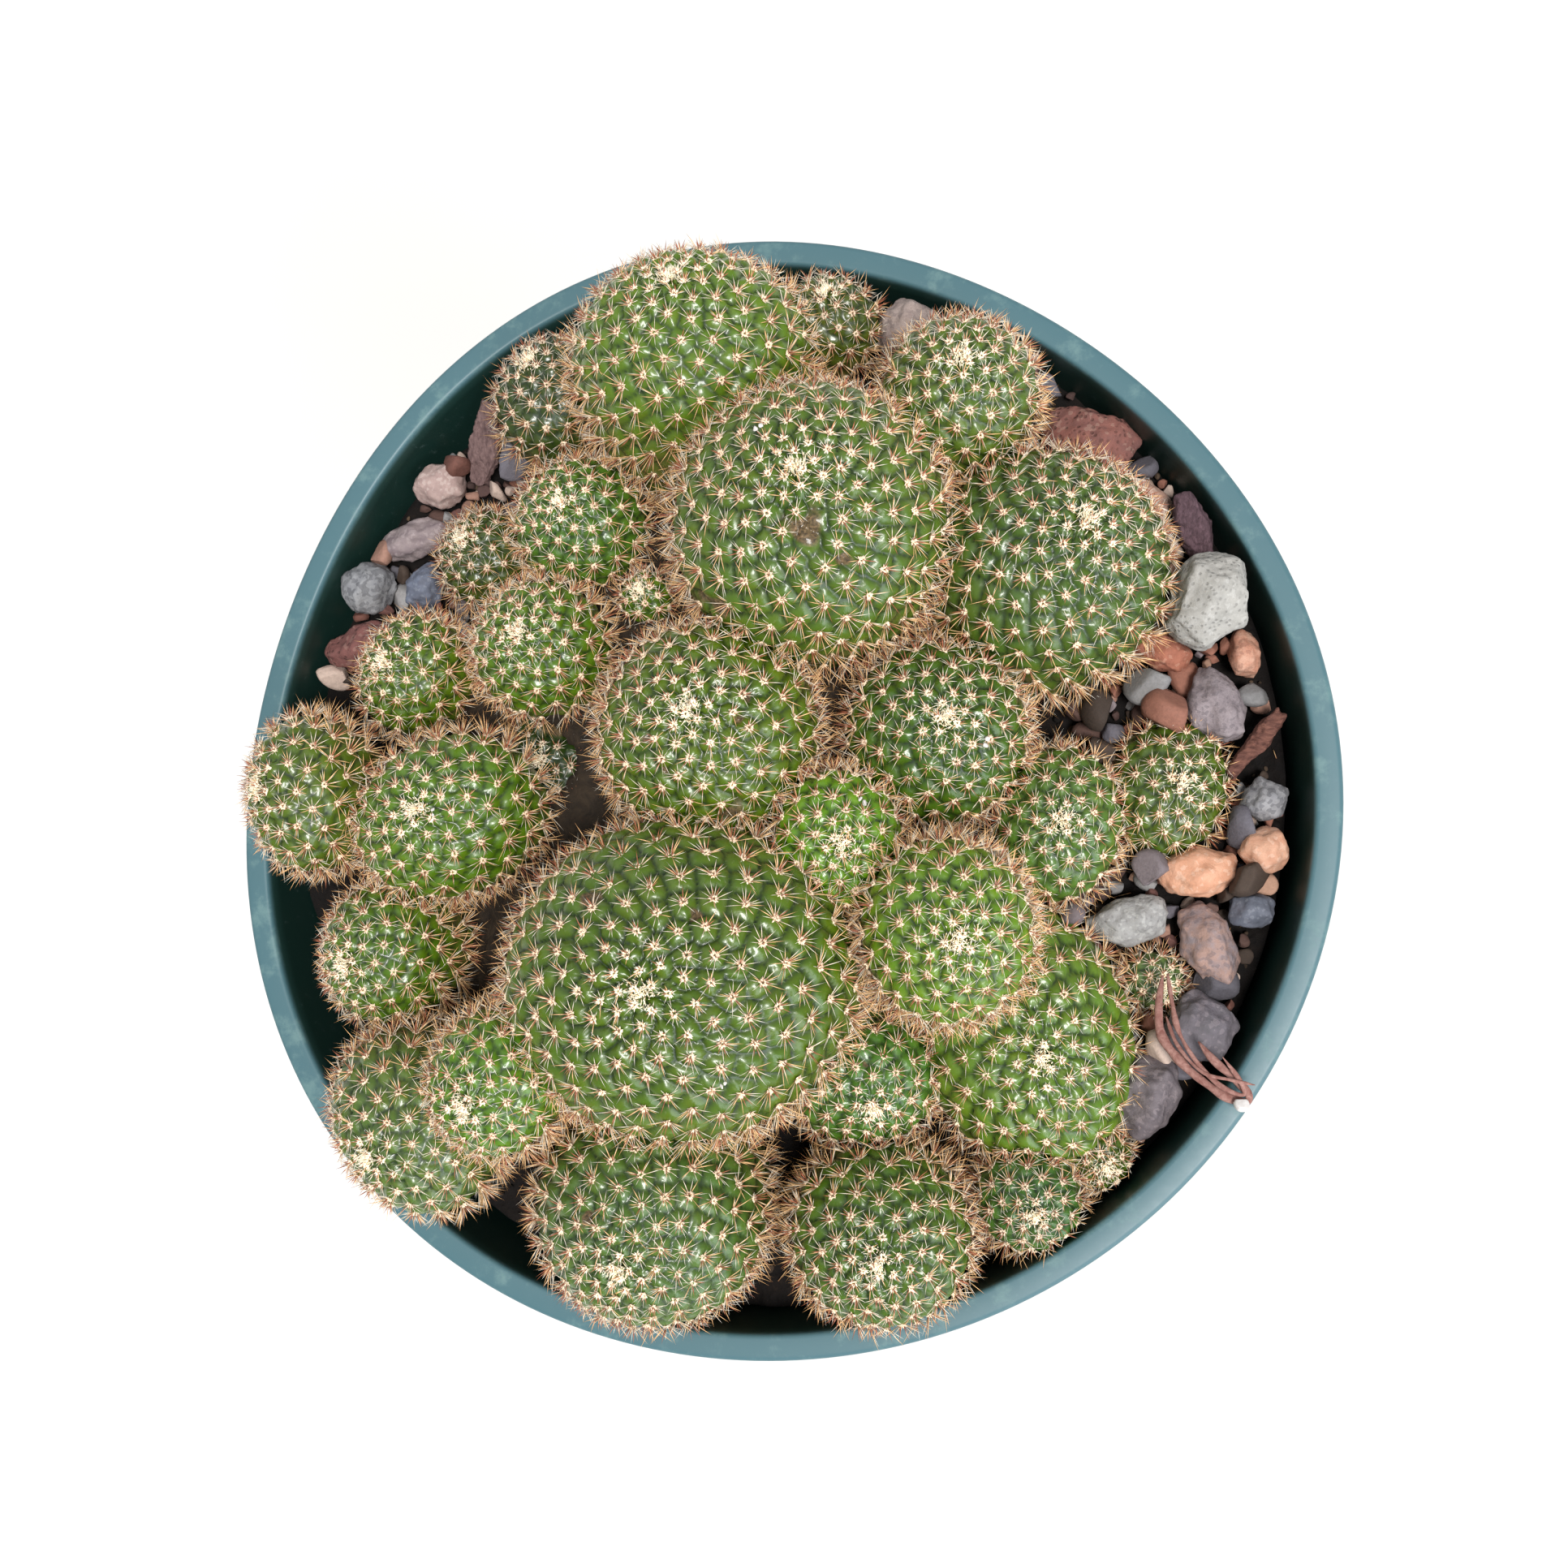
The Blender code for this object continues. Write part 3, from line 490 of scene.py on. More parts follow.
class Sticks:
    """Many thin tapered sticks, gathered and then made into one mesh."""

    def __init__(self):
        self.points, self.across = [], []

    def add(self, roots, middles, tips, radii, kind, shades):
        """kind is a place in the order that KINDS counts; shades run from 0 to 1."""
        if not len(roots):
            return
        side, up = square_axes(unit(tips - roots))
        turn = np.arange(3) * 2 * math.pi / 3
        ring = (np.cos(turn)[:, None] * side[:, None] + np.sin(turn)[:, None] * up[:, None])
        ring = ring * radii[:, None, None]
        made = np.concatenate([
            roots[:, None] + ring, middles[:, None] + ring * 0.85, tips[:, None],
        ], axis=1)
        self.points.append(made)
        self.across.append((kind + 0.06 + 0.88 * shades) / KINDS)

    def mesh(self, name):
        points = np.concatenate(self.points)
        across = np.concatenate(self.across)
        count = len(points)
        corners = (np.arange(count)[:, None] * 7 + STICK_CORNERS).ravel()
        starts = (np.arange(count)[:, None] * 24 + STICK_STARTS).ravel()
        mesh = make_mesh(name, points.reshape(-1, 3), corners, starts)
        places = mesh.uv_layers.new(name="OFBake")
        width = STICK_ACROSS[STICK_CORNERS] * 0.006
        flat = np.stack([
            across[:, None] + width, np.broadcast_to(STICK_ALONG[STICK_CORNERS], (count, 24)),
        ], axis=-1)
        places.data.foreach_set("uv", flat.astype(np.float32).ravel())
        return mesh


# ---- Heads ----
class Head:
    """A head's ball and axis, read back from its CAD solid, and its flesh and areoles."""

    def __init__(self, name):
        self.name = name
        points = np.array([vert.co for vert in frame["nodes"][name].data.vertices], float)
        points = np.unique(points.round(6), axis=0)
        middle = points.mean(0)
        sizes, ways = np.linalg.eigh(np.cov((points - middle).T))
        gaps = [abs(sizes[(i + 1) % 3] - sizes[(i + 2) % 3]) for i in range(3)]
        axis = ways[:, int(np.argmin(gaps))]
        self.axis = axis if axis[2] > 0 else -axis
        along = (points - middle) @ self.axis
        depth = along.max() - along
        reach = np.linalg.norm(points - middle - along[:, None] * self.axis, axis=1)
        near = np.argsort(depth)[1:25]
        self.radius = float(np.median((reach[near] ** 2 + depth[near] ** 2) / (2 * depth[near])))
        self.centre = middle + self.axis * (along.max() - self.radius)
        self.side, self.up = square_axes(self.axis)
        self.rng = np.random.default_rng(int(name[-2:]))
        self.side_spacing = SIDE_SPACING * (self.radius / MIDDLING_RADIUS) ** 0.35

    def outline(self, ways, outline):
        """Reach and level at these ways down from the apex."""
        round_to = outline[0][0]
        table = np.array(outline)
        swell = SWELL if outline is STOUT_OUTLINE else 0
        ball = np.sin(ways) * (1 + swell * np.sin(ways) ** 2)
        reach = np.where(ways < round_to, ball, np.interp(ways, table[:, 0], table[:, 1]))
        level = np.where(ways < round_to, np.cos(ways), np.interp(ways, table[:, 0], table[:, 2]))
        return reach * self.radius, level * self.radius

    def grow(self, heads):
        """The smooth flesh: rows of points down from the apex, as stout as the neighbours allow."""
        last = SLIM_OUTLINE[-1][0]
        self.ways = np.linspace(0, last, int(self.radius * last / FLESH_PITCH) + 1)
        steps = max(24, int(2 * math.pi * self.radius / FLESH_PITCH))
        self.turns = np.arange(steps) * 2 * math.pi / steps
        flat = np.cos(self.turns)[:, None] * self.side + np.sin(self.turns)[:, None] * self.up

        def rows(outline):
            reach, level = self.outline(self.ways, outline)
            return self.centre + reach[:, None, None] * flat + level[:, None, None] * self.axis

        slim, stout = rows(SLIM_OUTLINE), rows(STOUT_OUTLINE)
        if self.name in STRETCHES:
            direction, longer = STRETCHES[self.name]
            direction = unit(np.array([*direction, 0.0]))
            along = (stout - self.centre) @ direction
            stout = stout + along[..., None] * direction * (longer - 1)
        shares = np.zeros(slim.shape[:2])
        settled = np.zeros(slim.shape[:2], bool)
        for share in np.linspace(1, 0, 11):
            trial = slim + (stout - slim) * share
            free = is_free(heads, self, trial.reshape(-1, 3), -FLESH_GAP).reshape(settled.shape)
            shares[free & ~settled] = share
            settled |= free
        for _ in range(6):
            shares = (shares + np.roll(shares, 1, 1) + np.roll(shares, -1, 1)
                      + np.pad(shares, ((1, 1), (0, 0)), "edge")[2:]
                      + np.pad(shares, ((1, 1), (0, 0)), "edge")[:-2]) / 5
        self.rows = slim + (stout - slim) * shares[..., None]
        down = np.gradient(self.rows, axis=0)
        across = np.roll(self.rows, -1, 1) - np.roll(self.rows, 1, 1)
        self.outs = unit(np.cross(across, down))
        self.outs[0] = self.axis
        middle = self.rows.mean(1, keepdims=True)
        facing = ((self.rows - middle) * self.outs).sum(-1, keepdims=True)
        self.outs = np.where(facing < 0, -self.outs, self.outs)
        self.outs[0] = self.axis
        self.place_areoles()

    def spacing(self, ways):
        near = self.side_spacing * CROWN_SPACING_SHARE
        return near + (self.side_spacing - near) * (1 - np.exp(-ways / 0.55))

    def at(self, ways, bearings):
        """Point and outward direction on the flesh, between its rows' points."""
        row = np.clip(ways / self.ways[1], 0, len(self.ways) - 1.001)
        step = (bearings / (2 * math.pi) % 1) * len(self.turns)
        low, left = row.astype(int), step.astype(int)
        right = (left + 1) % len(self.turns)
        down, over = (row - low)[:, None], (step - left)[:, None]
        found = []
        for grid in (self.rows, self.outs):
            upper = grid[low, left] * (1 - over) + grid[low, right] * over
            lower = grid[low + 1, left] * (1 - over) + grid[low + 1, right] * over
            found.append(upper * (1 - down) + lower * down)
        return found[0], unit(found[1])

    def place_areoles(self):
        ways = np.linspace(0, LAST_AREOLE, 600)
        around = 2 * math.pi * self.outline(ways, STOUT_OUTLINE)[0] * self.radius
        density = around / (0.866 * self.spacing(ways) ** 2)
        count = np.concatenate([[0], np.cumsum((density[1:] + density[:-1]) / 2 * np.diff(ways))])
        numbers = np.arange(int(count[-1]))
        self.down = np.interp(numbers + 0.5, count, ways)
        bearings = numbers * GOLDEN_ANGLE + self.rng.uniform(0, 6)
        self.areoles, self.areole_outs = self.at(self.down, bearings)
        self.spacings = self.spacing(self.down)


def is_free(heads, own, points, gap):
    """Which points lie outside every other head's ball and inside the pot, or over its rim."""
    reach = np.hypot(points[:, 0], points[:, 1])
    free = (points[:, 2] > POT_HEIGHT + 0.3 * MM) | (reach < inner_radius(points[:, 2]) - 0.5 * MM)
    for head in heads:
        if head is not own:
            free &= np.linalg.norm(points - head.centre, axis=1) > head.radius - gap
    return free


def build_flesh(head, material):
    """The skin: a rounded tubercle under each areole, V grooves between them."""
    points = head.rows.reshape(-1, 3)
    way = np.repeat(head.ways, len(head.turns))
    nearest = np.full(len(points), 9.0)
    second = np.full(len(points), 9.0)
    scale = np.ones(len(points))
    for spot, spacing in zip(head.areoles, head.spacings):
        apart = np.linalg.norm(points - spot, axis=1) / spacing
        closer = apart < nearest
        second = np.where(closer, nearest, np.minimum(second, apart))
        nearest = np.where(closer, apart, nearest)
        scale = np.where(closer, spacing, scale)
    rise = np.clip((second - nearest) / np.interp(way, [0.3, 1.2], [0.95, 0.75]), 0, 1)
    dome = np.sqrt(1 - (1 - rise) ** 2)
    depth = np.interp(way, [0, 0.5, 1.2, 2.1], [0.46, 0.36, 0.22, 0.15]) * scale
    depth = np.where(nearest > 1.6, 0, depth)
    top = np.exp(-(way / 0.22) ** 2)
    swell = ripple(points, head.radius * 0.8, head.rng) * 0.012 * head.radius
    height = -depth * (1 - dome) + swell * (1 - top) - 0.05 * head.radius * top - 0.1 * MM
    scar = np.zeros(len(points))
    for direction, width, deep in SCARS.get(head.name, []):
        heart = head.centre + unit(np.array(direction)) * head.radius
        ragged = np.clip(1 + 0.35 * ripple(points, width * 0.4 * MM, head.rng), 0.5, 1.7)
        inside = 1 - np.linalg.norm(points - heart, axis=1) / (width / 2 * MM * ragged) * 0.6
        scar = np.maximum(scar, np.clip(inside, 0, 1))
        height -= np.clip(inside, 0, 0.5) * 2 * deep * MM
    height = height.reshape(head.rows.shape[:2])
    height[-1] = height[-2] = 0
    mesh = turned_mesh("flesh_" + head.name[-2:], head.rows + head.outs * height[..., None])

    def one_each(values):
        values = values.reshape(*head.rows.shape[:2], -1)
        middle = values[1:-1].reshape(-1, values.shape[-1])
        return np.concatenate([values[0, :1], middle, values[-1, :1]])

    age = np.clip((way - 0.9) / 1.4, 0, 1)
    age = np.clip(age + 0.25 * ripple(points, 3 * MM, head.rng), 0, 1)
    add_attribute(mesh, "groove", one_each(1 - dome))
    add_attribute(mesh, "age", one_each(age))
    add_attribute(mesh, "scar", one_each(scar))
    # the head's skin colour, its painted shade included
    tint = np.array(linear(*SKINS_WITH_SHADE[head.name]))
    grey = tint.mean()
    tint = np.clip(grey + (tint - grey) * SKIN_DEPTH, 0.004, 1) * SKIN_BRIGHTNESS
    add_attribute(mesh, "tint", np.tile([*tint, 1], (len(mesh.vertices), 1)), "FLOAT_COLOR")
    add_piece(mesh.name, mesh, material, SLOTS[head.name], head.name)


def build_spines(head, heads, material):
    """Radial and central spines on every areole, its wool, and a tuft at the apex."""
    rng, sticks = head.rng, Sticks()
    side, up = square_axes(head.areole_outs)
    size = (head.radius / MIDDLING_RADIUS) ** 0.2
    young = np.clip(1 - head.down / 0.55, 0, 1)
    low = np.clip((head.down - 0.7) / 1.1, 0, 1)
    open_ground = is_free(heads, head, head.areoles, -0.1 * MM) & (head.areoles[:, 2] > MIX_TOP)
    scarred = np.zeros(len(head.areoles), bool)
    for direction, width, _ in SCARS.get(head.name, []):
        heart = head.centre + unit(np.array(direction)) * head.radius
        scarred |= np.linalg.norm(head.areoles - heart, axis=1) < width * 0.42 * MM

    def spread(each, off_low, off_high, long_low, long_high, thick, kind, curl, shades, share, long):
        """each spines on every areole, leaning off its outward direction by the two angles."""
        count = len(head.areoles)
        owner = np.repeat(np.arange(count), each)
        turn = np.tile(np.arange(each), count) + rng.uniform(-0.3, 0.3, len(owner))
        turn = turn * 2 * math.pi / each
        turn += np.repeat(rng.uniform(0, 6, count), each)
        off = np.radians(rng.uniform(off_low, off_high, len(owner)))
        off *= 1 - 0.40 * young[owner] - 0.25 * low[owner]
        away = np.cos(turn)[:, None] * side[owner] + np.sin(turn)[:, None] * up[owner]
        out = head.areole_outs[owner]
        first = np.cos(off - curl)[:, None] * out + np.sin(off - curl)[:, None] * away
        last = np.cos(off + curl)[:, None] * out + np.sin(off + curl)[:, None] * away
        length = rng.uniform(long_low, long_high, len(owner)) * MM * size * (long - 0.3 * young)[owner]
        root = head.areoles[owner] + away * 0.14 * MM - out * 0.14 * MM
        middle = root + first * length[:, None] * 0.5
        tip = middle + last * length[:, None] * 0.5
        radius = thick * MM * rng.uniform(0.8, 1.2, len(owner))
        shade = np.clip(shades[owner] + rng.normal(0, 0.16, len(owner)), 0, 1)
        keep = is_free(heads, head, tip, 0.1 * MM) & (tip[:, 2] > MIX_TOP)
        keep &= (open_ground & ~scarred)[owner] & (rng.uniform(size=len(owner)) < share[owner])
        sticks.add(root[keep], middle[keep], tip[keep], radius[keep], kind, shade[keep])

    # Spines are lighter on young and low areoles; on the shaded heads listed above, painted shade
    # darkens them
    light = np.clip(0.70 + 0.25 * young + 0.15 * low - SPINE_SHADE_PAINTED.get(head.name, 0), 0, 1)
    long = 1 + 0.65 * low
    spread(12, 50, 78, 1.0, 1.8, 0.036, 0, 0.04, light, 0.80 - 0.30 * low - 0.30 * young, long)
    spread(12, 35, 75, 1.1, 2.0, 0.042, 1, 0.04, light + 0.1, 0.15 + 0.70 * low, long)
    spread(6, 6, 48, 0.7, 1.5, 0.048, 2, 0.04, light, 0.85 - 0.35 * low, long)
    spread(24, 5, 95, 0.26, 0.48, 0.115, 3, 0.2, light + 0.1, 1 - young, 1 + 0 * low)
    spread(24, 5, 95, 0.32, 0.54, 0.115, 4, 0.2, light, young, 1 + 0.3 * young)

    # The woolly tuft at the apex
    tuft = int(60 + 80 * size ** 2)
    off = np.abs(rng.normal(0, 0.60 * MM / head.radius, tuft)) + 0.01
    roots, outs = head.at(off, rng.uniform(0, 6.28, tuft))
    roots = roots - outs * (0.05 * head.radius + 0.2 * MM)
    ways = unit(outs + rng.normal(0, 0.35, (tuft, 3)))
    tips = roots + ways * rng.uniform(0.5, 1.1, (tuft, 1)) * MM
    sticks.add(roots, (roots + tips) / 2, tips, np.full(tuft, 0.075 * MM), 4, rng.uniform(0.7, 1, tuft))
    mesh = sticks.mesh("spines_" + head.name[-2:])
    add_piece(mesh.name, mesh, material, SLOTS[head.name])


# ---- Pot ----
def rim_growth(bearing, level):
    """How far the soft wall stands out of round, from nothing low down to all at the rim."""
    grown = RIM_GROWTH + np.zeros_like(bearing)
    for turns, (cosine, sine) in RIM_HARMONICS.items():
        grown += cosine * np.cos(turns * bearing) + sine * np.sin(turns * bearing)
    share = np.clip((level - RIM_GROWS_FROM) / (POT_HEIGHT - RIM_GROWS_FROM), 0, 1)
    return grown * MM * share ** 1.3


def inner_radius(level):
    base = BASE_RADIUS - WALL
    return base + (MOUTH_RADIUS - base) * (level - FLOOR) / (POT_HEIGHT - FLOOR)


def rounded(corners, segments=5):
    """An outline through (radius, level, round) corners with each corner rounded."""
    outline = []
    for i, (reach, level, rounding) in enumerate(corners):
        here = np.array([reach, level])
        before = np.array(corners[i - 1][:2]) - here
        after = np.array(corners[(i + 1) % len(corners)][:2]) - here
        if rounding == 0:
            outline.append(here)
            continue
        a = here + before / np.linalg.norm(before) * rounding
        b = here + after / np.linalg.norm(after) * rounding
        for t in np.linspace(0, 1, segments):
            outline.append((1 - t) ** 2 * a + 2 * t * (1 - t) * here + t ** 2 * b)
    return np.array(outline)


def build_pot(material):
    under = POT_HEIGHT - LIP_DEPTH
    # Rows of the inner wall under the lip, where its painted shade comes in
    inner_edge, inner_dark = POT_HEIGHT - 0.9 * MM, POT_HEIGHT - 1.8 * MM
    outer_wall = [(inner_radius(level) + WALL, level, 0) for level in WALL_LEVELS]
    inner_wall = [(inner_radius(level), level, 0) for level in reversed(WALL_LEVELS)]
    corners = [
        (POLE_RADIUS, 0, 0),
        (BASE_RADIUS - 3 * MM, 0, 0.6 * MM),
        (BASE_RADIUS - 2.4 * MM, 0.5 * MM, 0.3 * MM),
        (BASE_RADIUS - 1.2 * MM, 0, 0.4 * MM),
        (BASE_RADIUS, FOOT_ROUND, 0.9 * MM),
        *outer_wall,
        (inner_radius(under) + WALL, under, 0.4 * MM),
        (RIM_RADIUS - 0.35 * MM, under, 0.35 * MM),
        (RIM_RADIUS, POT_HEIGHT - 1.2 * MM, 0.5 * MM),
        (RIM_RADIUS - 0.15 * MM, POT_HEIGHT, 0.45 * MM),
        (MOUTH_RADIUS, POT_HEIGHT, 0.4 * MM),
        (inner_radius(inner_edge), inner_edge, 0),
        (inner_radius(inner_dark), inner_dark, 0),
        (inner_radius(under), under, 0.5 * MM),
        *inner_wall,
        (inner_radius(FLOOR), FLOOR, 0.8 * MM),
        (POLE_RADIUS, FLOOR, 0),
    ]
    outline = rounded(corners)
    bearing = np.arange(POT_STEPS) * 2 * math.pi / POT_STEPS
    level = outline[:, 1][:, None]
    rows = turned_rows(outline[:, 0][:, None] + rim_growth(bearing, level), bearing, level)
    poles = rows[[0, -1]] * [0, 0, 1]
    rows = np.concatenate([poles[:1], rows, poles[1:]])
    mesh = turned_mesh("pot_shell", rows)
    add_drain_holes(mesh)
    points = np.array([vert.co for vert in mesh.vertices])
    # the lip's top, where a painted sheen lightens it and where its edges wear
    add_attribute(mesh, "rubbed", np.clip(1 - (POT_HEIGHT - points[:, 2]) / (0.9 * MM), 0, 1))
    bearing, level = np.arctan2(points[:, 1], points[:, 0]), points[:, 2]
    reach = np.hypot(points[:, 0], points[:, 1]) - rim_growth(bearing, level)
    # painted shade on the pot's inside, from nothing 0.3 mm under the rim's top to full 1 mm lower
    depth = np.clip((POT_HEIGHT - 0.3 * MM - level) / (1.0 * MM), 0, 1)
    inside = (reach < inner_radius(level) + WALL / 2) & (level > FLOOR / 2)
    add_attribute(mesh, "inside", depth * inside)
    add_piece("pot_shell", mesh, material, SLOTS["nursery_pot"], "nursery_pot")


def add_drain_holes(mesh):
    """Cut the drain holes with one Boolean."""
    cutters = bmesh.new()
    for i in range(DRAIN_HOLES):
        turn = 2 * math.pi * i / DRAIN_HOLES
        place = Vector((DRAIN_REACH * math.cos(turn), DRAIN_REACH * math.sin(turn), FLOOR / 2))
        bmesh.ops.create_cone(
            cutters, cap_ends=True, segments=32, radius1=DRAIN_DIAMETER / 2, radius2=DRAIN_DIAMETER / 2,
            depth=4 * FLOOR, matrix=Matrix.Translation(place),
        )
    cutter_mesh = bpy.data.meshes.new("drain_cutters")
    cutters.to_mesh(cutter_mesh)
    cutters.free()
    cutter = bpy.data.objects.new("drain_cutters", cutter_mesh)
    body = bpy.data.objects.new("pot_blank", mesh)
    for item in (cutter, body):
        bpy.context.scene.collection.objects.link(item)
    cut = body.modifiers.new("drain", "BOOLEAN")
    cut.object, cut.operation, cut.solver = cutter, "DIFFERENCE", "EXACT"
    apply_modifiers(body)
    bpy.data.objects.remove(cutter)
    bpy.data.objects.remove(body)


def apply_modifiers(piece):
    """Make an object's modified shape its own mesh."""
    graph = bpy.context.evaluated_depsgraph_get()
    graph.update()
    done = bmesh.new()
    done.from_mesh(piece.evaluated_get(graph).to_mesh())
    done.to_mesh(piece.data)
    done.free()
    piece.modifiers.clear()


# ---- Mix, root crown, stones and bark ----
def build_mix(material):
    """The mix: a lumpy top and plain sides, closed below."""
    rng = np.random.default_rng(50)
    low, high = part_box("potting_mix")
    steps, rings = 200, 100
    edge = inner_radius(MIX_TOP) - 0.15 * MM
    bearing = np.arange(steps) * 2 * math.pi / steps
    reach = np.linspace(0, 1, rings + 1) * edge
    top = turned_rows(reach[:, None], bearing, high.z)
    lumps = 0.35 * ripple(top, 5 * MM, rng) + 0.3 * ripple(top, 2 * MM, rng)
    lumps += 0.22 * ripple(top, 0.9 * MM, rng)
    top[..., 2] += (lumps - 0.1) * MM
    sides = []
    for level in (high.z - 2 * MM, (high.z + low.z) / 2, low.z):
        sides.append(turned_rows(inner_radius(level) - 0.15 * MM, bearing, level))
    sides.append(sides[-1] * [0, 0, 1])
    mesh = turned_mesh("mix_bed", np.concatenate([top, np.array(sides)]))
    add_attribute(mesh, "shade", np.zeros(len(mesh.vertices)))
    add_piece("mix_bed", mesh, material, SLOTS["potting_mix"], "potting_mix")


def solid_copy(node, voxel, smoothing):
    """A fine even mesh over a CAD solid, its edges softened."""
    source = frame["nodes"][node]
    shape = bmesh.new()
    shape.from_mesh(source.data)
    bmesh.ops.remove_doubles(shape, verts=shape.verts, dist=0.02 * MM)
    mesh = bpy.data.meshes.new(node + "_fine")
    shape.to_mesh(mesh)
    shape.free()
    blank = bpy.data.objects.new("blank", mesh)
    bpy.context.scene.collection.objects.link(blank)
    remesh = blank.modifiers.new("remesh", "REMESH")
    remesh.mode, remesh.voxel_size = "VOXEL", voxel
    smooth = blank.modifiers.new("smooth", "SMOOTH")
    smooth.factor, smooth.iterations = 0.5, smoothing
    apply_modifiers(blank)
    bpy.data.objects.remove(blank)
    return mesh


def roughen(mesh, layers, seed):
    """Push a mesh's points along their normals by noise, each layer a (size, height) pair."""
    count = len(mesh.vertices)
    points = np.empty(count * 3, np.float32)
    normals = np.empty(count * 3, np.float32)
    mesh.vertices.foreach_get("co", points)
    mesh.vertex_normals.foreach_get("vector", normals)
    points, normals = points.reshape(-1, 3).astype(float), normals.reshape(-1, 3)
    height = np.zeros(count)
    offset = Vector((seed * 7.31, seed * 3.17, seed * 1.93))
    for size, tall in layers:
        height += tall * np.array([
            noise.noise(Vector(point) / size + offset, noise_basis="PERLIN_ORIGINAL")
            for point in points
        ])
    moved = points + normals * height[:, None]
    mesh.vertices.foreach_set("co", moved.astype(np.float32).ravel())
    mesh.update()


# Each stone: its two colours, its flecks, grain (mm), share of flecks, pits (their bump and painted
# shade) and roughness
ROCKS = {
    "stone_pink_grey": ((0.30, 0.23, 0.21), (0.38, 0.30, 0.27), (0.16, 0.13, 0.13),
                 0.40, 0.25, 0, 0.75),
    "stone_lava_flat": ((0.25, 0.10, 0.08), (0.17, 0.075, 0.065), (0.33, 0.20, 0.16),
                 0.35, 0.15, 0.5, 0.85),
    "stone_pale_pink": ((0.50, 0.32, 0.25), (0.42, 0.24, 0.18), (0.62, 0.48, 0.40), 0.30, 0.2, 0, 0.7),
    "stone_pumice": ((0.42, 0.40, 0.37), (0.34, 0.325, 0.30), (0.52, 0.50, 0.47), 0.30, 0.12, 0.4, 0.9),
    "stone_brick": ((0.40, 0.15, 0.095), (0.30, 0.11, 0.07), (0.50, 0.27, 0.19), 0.30, 0.2, 0.2, 0.8),
    "stone_shard": ((0.22, 0.18, 0.19), (0.30, 0.25, 0.26), (0.12, 0.10, 0.11), 0.30, 0.25, 0, 0.7),
    "stone_tan_north": ((0.52, 0.24, 0.16), (0.62, 0.36, 0.26), (0.30, 0.14, 0.10), 0.30, 0.2, 0, 0.7),
    "stone_speckled_right": ((0.33, 0.32, 0.33), (0.24, 0.235, 0.25), (0.07, 0.07, 0.08),
                 0.35, 0.4, 0, 0.75),
    "stone_tan_upper": ((0.66, 0.37, 0.25), (0.56, 0.28, 0.18), (0.74, 0.50, 0.38), 0.35, 0.2, 0, 0.65),
    "stone_tan_broad": ((0.70, 0.38, 0.25), (0.58, 0.28, 0.17), (0.78, 0.52, 0.39), 0.40, 0.2, 0, 0.65),
    "stone_grey_pale": ((0.36, 0.35, 0.34), (0.28, 0.27, 0.265), (0.50, 0.49, 0.47),
                 0.30, 0.25, 0.2, 0.8),
    "stone_slate": ((0.15, 0.16, 0.20), (0.10, 0.11, 0.14), (0.24, 0.25, 0.29), 0.25, 0.15, 0, 0.6),
    "stone_two_tone": ((0.38, 0.24, 0.20), (0.26, 0.21, 0.22), (0.15, 0.12, 0.13), 0.35, 0.2, 0, 0.75),
    "stone_dark_upper": ((0.16, 0.14, 0.16), (0.11, 0.10, 0.11), (0.26, 0.22, 0.24), 0.35, 0.2, 0, 0.7),
    "stone_dark_lower": ((0.18, 0.15, 0.16), (0.12, 0.10, 0.11), (0.28, 0.23, 0.24), 0.35, 0.2, 0, 0.7),
    "stone_pink_left": ((0.46, 0.33, 0.30), (0.36, 0.25, 0.23), (0.58, 0.47, 0.43), 0.30, 0.2, 0, 0.7),
    "stone_mauve_left": ((0.30, 0.24, 0.24), (0.22, 0.17, 0.18), (0.40, 0.33, 0.33),
                 0.30, 0.2, 0, 0.75),
    "stone_speckled_left": ((0.30, 0.30, 0.31), (0.22, 0.22, 0.235), (0.07, 0.07, 0.08),
                 0.35, 0.4, 0, 0.75),
    "stone_slate_left": ((0.16, 0.18, 0.24), (0.11, 0.12, 0.16), (0.25, 0.27, 0.32),
                 0.30, 0.15, 0, 0.6),
    "stone_lava_left": ((0.22, 0.09, 0.08), (0.15, 0.065, 0.06), (0.31, 0.18, 0.15),
                 0.35, 0.15, 0.5, 0.85),
}

# Each bark piece: its dark and light colours and the way that its grain is drawn out
BARKS = {
    "bark_chip_north": ((0.07, 0.030, 0.028), (0.24, 0.12, 0.10), (1, 3, 3)),
    "bark_chip_east": ((0.045, 0.025, 0.030), (0.17, 0.10, 0.12), (3, 1, 3)),
    "bark_stick": ((0.06, 0.022, 0.018), (0.25, 0.11, 0.08), (1, 3, 3)),
    "bark_chip_left": ((0.08, 0.045, 0.045), (0.25, 0.16, 0.15), (3, 1, 3)),
}


def build_stones():
    for number, (node, (main, other, fleck, grain, flecked, pits, rough)) in enumerate(ROCKS.items()):
        mesh = solid_copy(node, 0.2 * MM, 3)
        roughen(mesh, [(2.2 * MM, 0.35 * MM), (0.8 * MM, 0.16 * MM), (0.35 * MM, 0.06 * MM)], number)
        name = node.replace("stone_", "rock_")
        material = rock_finish(name, main, other, fleck, grain * MM, flecked, pits, rough)
        add_piece(name, mesh, material, SLOTS[node], node)


def build_barks():
    for number, (node, (dark, light, stretch)) in enumerate(BARKS.items()):
        mesh = solid_copy(node, 0.15 * MM, 2)
        roughen(mesh, [(1.8 * MM, 0.3 * MM), (0.5 * MM, 0.14 * MM)], 40 + number)
        name = node.replace("bark_", "wood_")
        material = wood_finish(name, dark, light, 0.8 * MM, stretch)
        add_piece(name, mesh, material, SLOTS[node], node)


